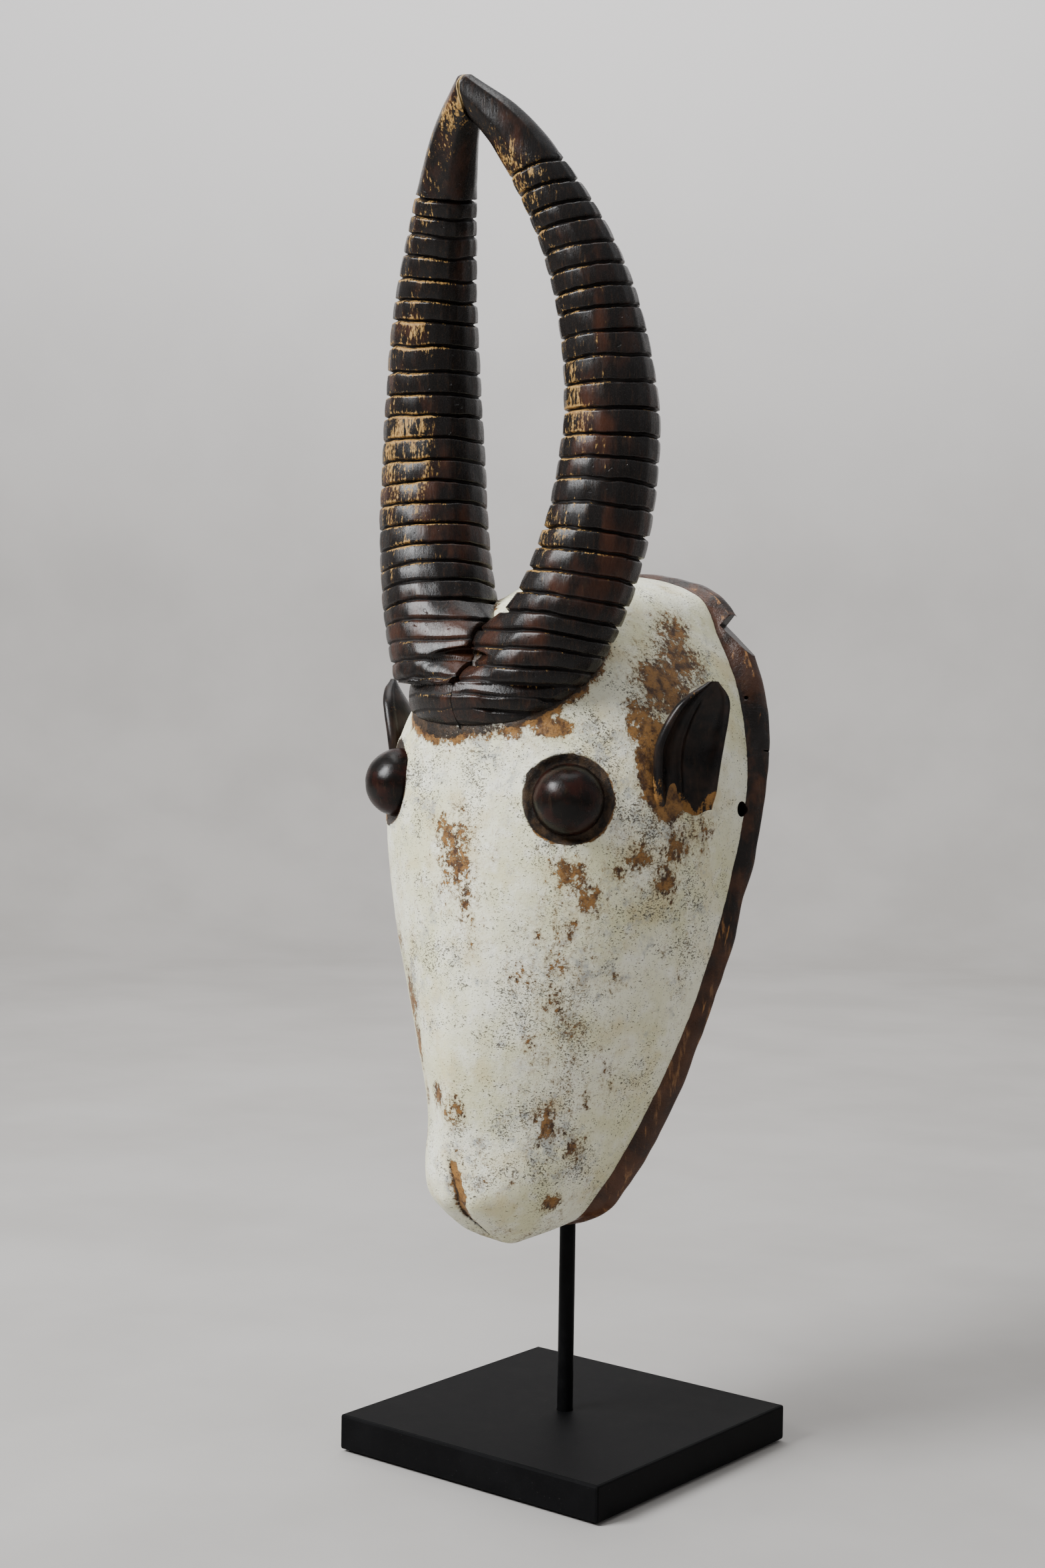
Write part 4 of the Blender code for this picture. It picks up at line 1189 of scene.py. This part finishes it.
def make_ear(side, word):
    """A cupped leaf with a thick rolled edge, a rib down its middle and two lobes at its foot."""
    rows = spline(steered(EAR_ROWS), np.linspace(0, len(EAR_ROWS) - 1, EAR_STEPS + 1))
    share = np.linspace(0, 1, EAR_STEPS + 1)[:, None]
    v = np.linspace(-1, 1, EAR_COLUMNS + 1)[None]
    inward = np.array((-EAR_ACROSS[1], EAR_ACROSS[0], 0.0))
    half, hollow = rows[:, 3:4], rows[:, 4:5]
    centre = rows[:, None, :3]
    low = smooth(0.0, 0.16, share)
    rib = 1.7 * np.exp(-(((v + 0.12) / 0.10) ** 2)) * low * (1 - smooth(0.6, 0.92, share))
    roll_front = 1.9 * np.exp(-(((v + 0.92) / 0.15) ** 2))
    roll_back = 1.0 * np.exp(-(((v - 0.92) / 0.12) ** 2))
    rolled = (roll_front + roll_back) * smooth(0, 0.1, share) * (1 - smooth(0.9, 1.0, share))
    lobes = np.exp(-(((v + 0.62) / 0.30) ** 2)) + np.exp(-(((v - 0.42) / 0.34) ** 2))
    cup = 1.25 * hollow * (1 - np.abs(v) ** 2.4) + 0.8 * (1 - lobes) * (1 - low)
    depth = cup - rib - rolled
    front = centre + EAR_ACROSS * (half * v)[..., None] + inward * depth[..., None]
    notch = 3.6 * (1 - np.clip(lobes, 0, 1)) * (1 - smooth(0, 0.14, share))
    front[..., 2] += notch
    bulge = 4.2 * np.exp(-(((share - 0.32) / 0.26) ** 2)) * np.exp(-((v / 0.6) ** 2))
    thick = (4.9 - 1.2 * v + bulge) * (1 - 0.45 * smooth(0.75, 1, share))
    thin_by = 1 - smooth(0, 0.05, share)
    back = centre + EAR_ACROSS * (half * v * 0.97)[..., None]
    back = back + inward * (hollow * (1 - v * v) + thick)[..., None]
    back[..., 2] += notch + 0.6 * thin_by
    back = back[:, ::-1]
    far_edge = round_edge(front[:, -1], back[:, 0], EAR_ACROSS)
    near_edge = round_edge(back[:, -1], front[:, 0], -EAR_ACROSS)
    loop = np.concatenate((front, far_edge, back, near_edge), axis=1)
    points = loop.reshape(-1, 3)
    points = points + 0.22 * noise(points, 6, 121)[:, None] * unit(inward)
    points[:, 0] *= side
    index = np.arange(len(points)).reshape(loop.shape[:2])
    faces = [tuple(face) for face in grid_faces(index, True)]
    faces.append(tuple(index[0][::-1]))
    faces.append(tuple(index[-1]))
    if side < 0:
        faces = [face[::-1] for face in faces]
    ends = np.ones(EAR_EDGE)
    v_all = np.concatenate((v.ravel(), ends, v.ravel()[::-1], -ends))
    on_front = np.concatenate((np.ones(EAR_COLUMNS + 1), np.zeros(EAR_COLUMNS + 1 + 2 * EAR_EDGE)))
    share_all = share.ravel()[:, None]
    lobe_row = np.clip(lobes.ravel(), 0, 1)
    lobe_all = np.concatenate((lobe_row, lobe_row[-1] * ends, lobe_row[::-1], lobe_row[0] * ends))[None]
    foot = 1 - smooth(0.0, 0.06, share_all - 0.13 * (1 - lobe_all))
    edge = np.exp(-(((np.abs(v_all) - 1) / 0.06) ** 2))[None]
    rib_line = 0.62 * np.exp(-(((v_all + 0.12) / 0.05) ** 2))[None] * on_front
    rib_line = rib_line * (1 - smooth(0.25, 0.7, share_all))
    side_edge = 0.5 * np.exp(-(((v_all + 1) / 0.10) ** 2))[None] * (1 - smooth(0.25, 0.75, share_all))
    rub = np.maximum(np.maximum(0.95 * foot, rib_line), np.maximum(side_edge, 0.36 * edge)).reshape(-1)
    rub = rub * (0.75 + 0.35 * noise(points, 8, 131))
    name = "ear_" + word
    add_piece("carved_" + name, "mask", points, faces, (EAR,), {"rub": rub}, (name,))


def make_eye(side, word):
    """A knife-rounded dome on its peg."""
    centre, out = eye_seat(side)
    seat = -EYE_SINK_MM + 0.3
    dome = [(EYE_R_MM * sin(a), seat + EYE_R_MM * cos(a)) for a in np.linspace(0, pi / 2, 46)]
    peg_r, peg_end = 8.0, seat - 13.0
    peg = [(peg_r + 1, seat), (peg_r, seat - 0.6), (peg_r, peg_end + 1), (peg_r - 1, peg_end), (0.0, peg_end)]
    profile = dome + [(EYE_R_MM - 0.8, seat - 0.2)] + peg
    points, faces = revolve(profile, 96)
    ray = unit(points - (0, 0, seat))
    top = (points[:, 2] > seat)
    facet = 0.30 * noise(points, 9, 141 + side) + 0.12 * noise(points, 4, 142)
    points = points + ray * (facet * top * smooth(seat, seat + 2, points[:, 2]))[:, None]
    rub = 0.42 * (1 - smooth(seat + 0.5, seat + 4.5, points[:, 2])) * (0.7 + 0.5 * noise(points, 5, 143))
    across = unit(np.cross((0.0, 0.0, 1.0), out))
    up = np.cross(out, across)
    points = points[:, :1] * across + points[:, 1:2] * up + points[:, 2:] * out + centre
    name = "eye_" + word
    add_piece("carved_" + name, "mask", points, faces, (EYE,), {"rub": rub}, (name,))


# ---------------------------------------------------------------- stand and hidden hardware

def turned_piece(name, body, corners_mm, material, round_mm, node, sides=64):
    """A turned piece with its edges eased, standing for the solid."""
    points, faces = revolve(rounded(corners_mm, round_mm), sides)
    add_piece(name, body, points, faces, (material,), None, (node,))


def make_stand():
    """The rod and its cap, and the materials of the solids that show as they are."""
    low, high = (corner.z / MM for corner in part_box("support_rod"))
    rod = ((0, high), (ROD_R_MM, high), (ROD_R_MM, low), (0, low))
    turned_piece("steel_rod", "stand", rod, ROD, 0.8, "support_rod", 72)
    low, high = (corner.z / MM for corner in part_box("rod_cap"))
    under = high - CAP_TOP_MM
    outside = ((0, high), (CAP_R_MM, high), (CAP_R_MM, low))
    cap = outside + ((CAP_BORE_R_MM, low), (CAP_BORE_R_MM, under), (0, under))
    turned_piece("nylon_cap", "cap", cap, NYLON, 0.6, "rod_cap")
    for name, material in (
        ("base_board", BOARD), ("base_felt", FELT), ("rod_washer", ZINC), ("rod_nut", ZINC),
        ("tip_pin", ZINC), ("horn_dowel_left", RAW), ("horn_dowel_right", RAW),
        ("crosspiece_screw_left", ZINC), ("crosspiece_screw_right", ZINC),
    ):
        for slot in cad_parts[name].material_slots:
            slot.material = material


def soften(node, name, body, material, width_mm):
    """A copy of a solid with its sharp edges eased, standing for the solid."""
    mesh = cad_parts[node].data.copy()
    piece = bpy.data.objects.new(name, mesh)
    bpy.context.scene.collection.objects.link(piece)
    weld = piece.modifiers.new("weld", "WELD")
    weld.merge_threshold = 0.02 * MM
    ease = piece.modifiers.new("ease", "BEVEL")
    ease.width = width_mm * MM
    ease.segments = 3
    ease.limit_method = "ANGLE"
    ease.angle_limit = radians(40)
    bpy.context.view_layer.update()
    made = bpy.data.meshes.new_from_object(piece.evaluated_get(bpy.context.evaluated_depsgraph_get()))
    piece.modifiers.clear()
    piece.data = made
    bpy.data.meshes.remove(mesh)
    made.materials.clear()
    made.materials.append(material)
    made.shade_smooth()
    made.set_sharp_from_angle(angle=radians(35))
    settle(piece, body, (node,))


# ---------------------------------------------------------------- stage

STUDIO_R = 3.4
STUDIO_HEIGHT = 2.7


def make_stage():
    """A pale round studio, so that the object can be seen from every side; its colour is painted lighter up
    the wall and darker on the floor, standing in for light.
    """
    n = Nodes("pale_floor")
    cloud = n.noise(260, 4, 0.55)
    fleck = n.noise(9, 5, 0.65, stretch=(3, 1, 1))
    colour = n.mix(n.step(cloud, 0.3, 0.7), (0.36, 0.345, 0.33), (0.41, 0.395, 0.38))
    colour = n.mix(n.times(fleck, 0.18), colour, (0.34, 0.32, 0.30))
    # painted light: the wall painted lighter with height than the floor
    colour = n.mix(n.step(n.height(), 0.1, 2.2), colour, (0.66, 0.65, 0.65))
    material = n.finish(colour, 0.75, fleck, 0.1, specular=0.25)
    bend = 0.7
    profile = [(0.5, 0.0), (1.5, 0.0), (STUDIO_R - bend, 0.0)]
    for angle in np.linspace(0.1, pi / 2, 14):
        profile.append((STUDIO_R - bend + bend * sin(angle), bend - bend * cos(angle)))
    profile.append((STUDIO_R, STUDIO_HEIGHT))
    sides = 72
    points = [(0.0, 0.0, 0.0)]
    for distance, height in profile:
        for k in range(sides):
            angle = k * 2 * pi / sides
            points.append((distance * cos(angle), distance * sin(angle), height))
    index = 1 + np.arange(len(profile) * sides).reshape(len(profile), sides)
    faces = [tuple(int(i) for i in face[::-1]) for face in grid_faces(index, True)]
    faces += [(0, int(index[0, k]), int(index[0, (k + 1) % sides])) for k in range(sides)]
    mesh = bpy.data.meshes.new("backdrop")
    mesh.from_pydata(points, [], faces)
    mesh.materials.append(material)
    mesh.shade_smooth()
    backdrop = bpy.data.objects.new("backdrop", mesh)
    bpy.context.scene.collection.objects.link(backdrop)


def area_light(name, place, target, size, power, colour):
    light = bpy.data.lights.new(name, "AREA")
    light.shape = "RECTANGLE"
    light.size, light.size_y = size
    light.energy = power
    light.color = colour
    lamp = bpy.data.objects.new(name, light)
    lamp.location = place
    lamp.rotation_euler = (Vector(target) - Vector(place)).to_track_quat("-Z", "Y").to_euler()
    bpy.context.scene.collection.objects.link(lamp)


def make_lights():
    """A soft window high on the left, a weak light from above, and one on the wall behind."""
    world = bpy.data.worlds.new("studio")
    world.use_nodes = True
    world.node_tree.nodes["Background"].inputs["Color"].default_value = (0.95, 0.97, 1.0, 1.0)
    world.node_tree.nodes["Background"].inputs["Strength"].default_value = 0.5
    bpy.context.scene.world = world
    middle = (0.0, -0.05, 0.45)
    area_light("window", (-0.75, -1.75, 1.85), middle, (0.9, 0.9), 114, (0.97, 0.985, 1.0))
    area_light("top", (-0.2, 0.1, 2.3), middle, (1.2, 1.2), 22, (1.0, 1.0, 1.0))
    area_light("wall", (-0.9, 1.0, 2.6), (-2.0, 3.0, 1.0), (1.6, 1.0), 70, (1.0, 0.99, 0.98))


CAMERA_AZIMUTH = radians(38.48)
CAMERA_DOWN = radians(2.13)
CAMERA_ROLL = radians(0.85)
CAMERA_DISTANCE = 1.420
CAMERA_AIM_SIDE = -0.0326
CAMERA_AIM_UP = 0.4181
CAMERA_LENS = 52.17


def make_camera():
    """The camera, turned round the object, a little above it and slightly rolled."""
    azimuth, down = CAMERA_AZIMUTH, CAMERA_DOWN
    back = Vector((sin(azimuth) * cos(down), -cos(azimuth) * cos(down), sin(down)))
    level = Vector((cos(azimuth), sin(azimuth), 0))
    up = back.cross(level)
    right = level * cos(CAMERA_ROLL) + up * sin(CAMERA_ROLL)
    top = up * cos(CAMERA_ROLL) - level * sin(CAMERA_ROLL)
    data = bpy.data.cameras.new("camera")
    data.lens = CAMERA_LENS
    data.sensor_width = 36
    camera = bpy.data.objects.new("camera", data)
    place = Vector((0, 0, CAMERA_AIM_UP)) + level * CAMERA_AIM_SIDE + back * CAMERA_DISTANCE
    turn = Matrix((right, top, back)).transposed().to_4x4()
    camera.matrix_world = Matrix.Translation(place) @ turn
    bpy.context.scene.collection.objects.link(camera)
    bpy.context.scene.camera = camera


make_camera()
make_stage()
make_lights()
make_stand()
soften("crosspiece", "sawn_crosspiece", "mask", RAW, 0.8)
make_head()
for side, word in SIDES:
    make_horn(side, word)
    make_ear(side, word)
    make_eye(side, word)
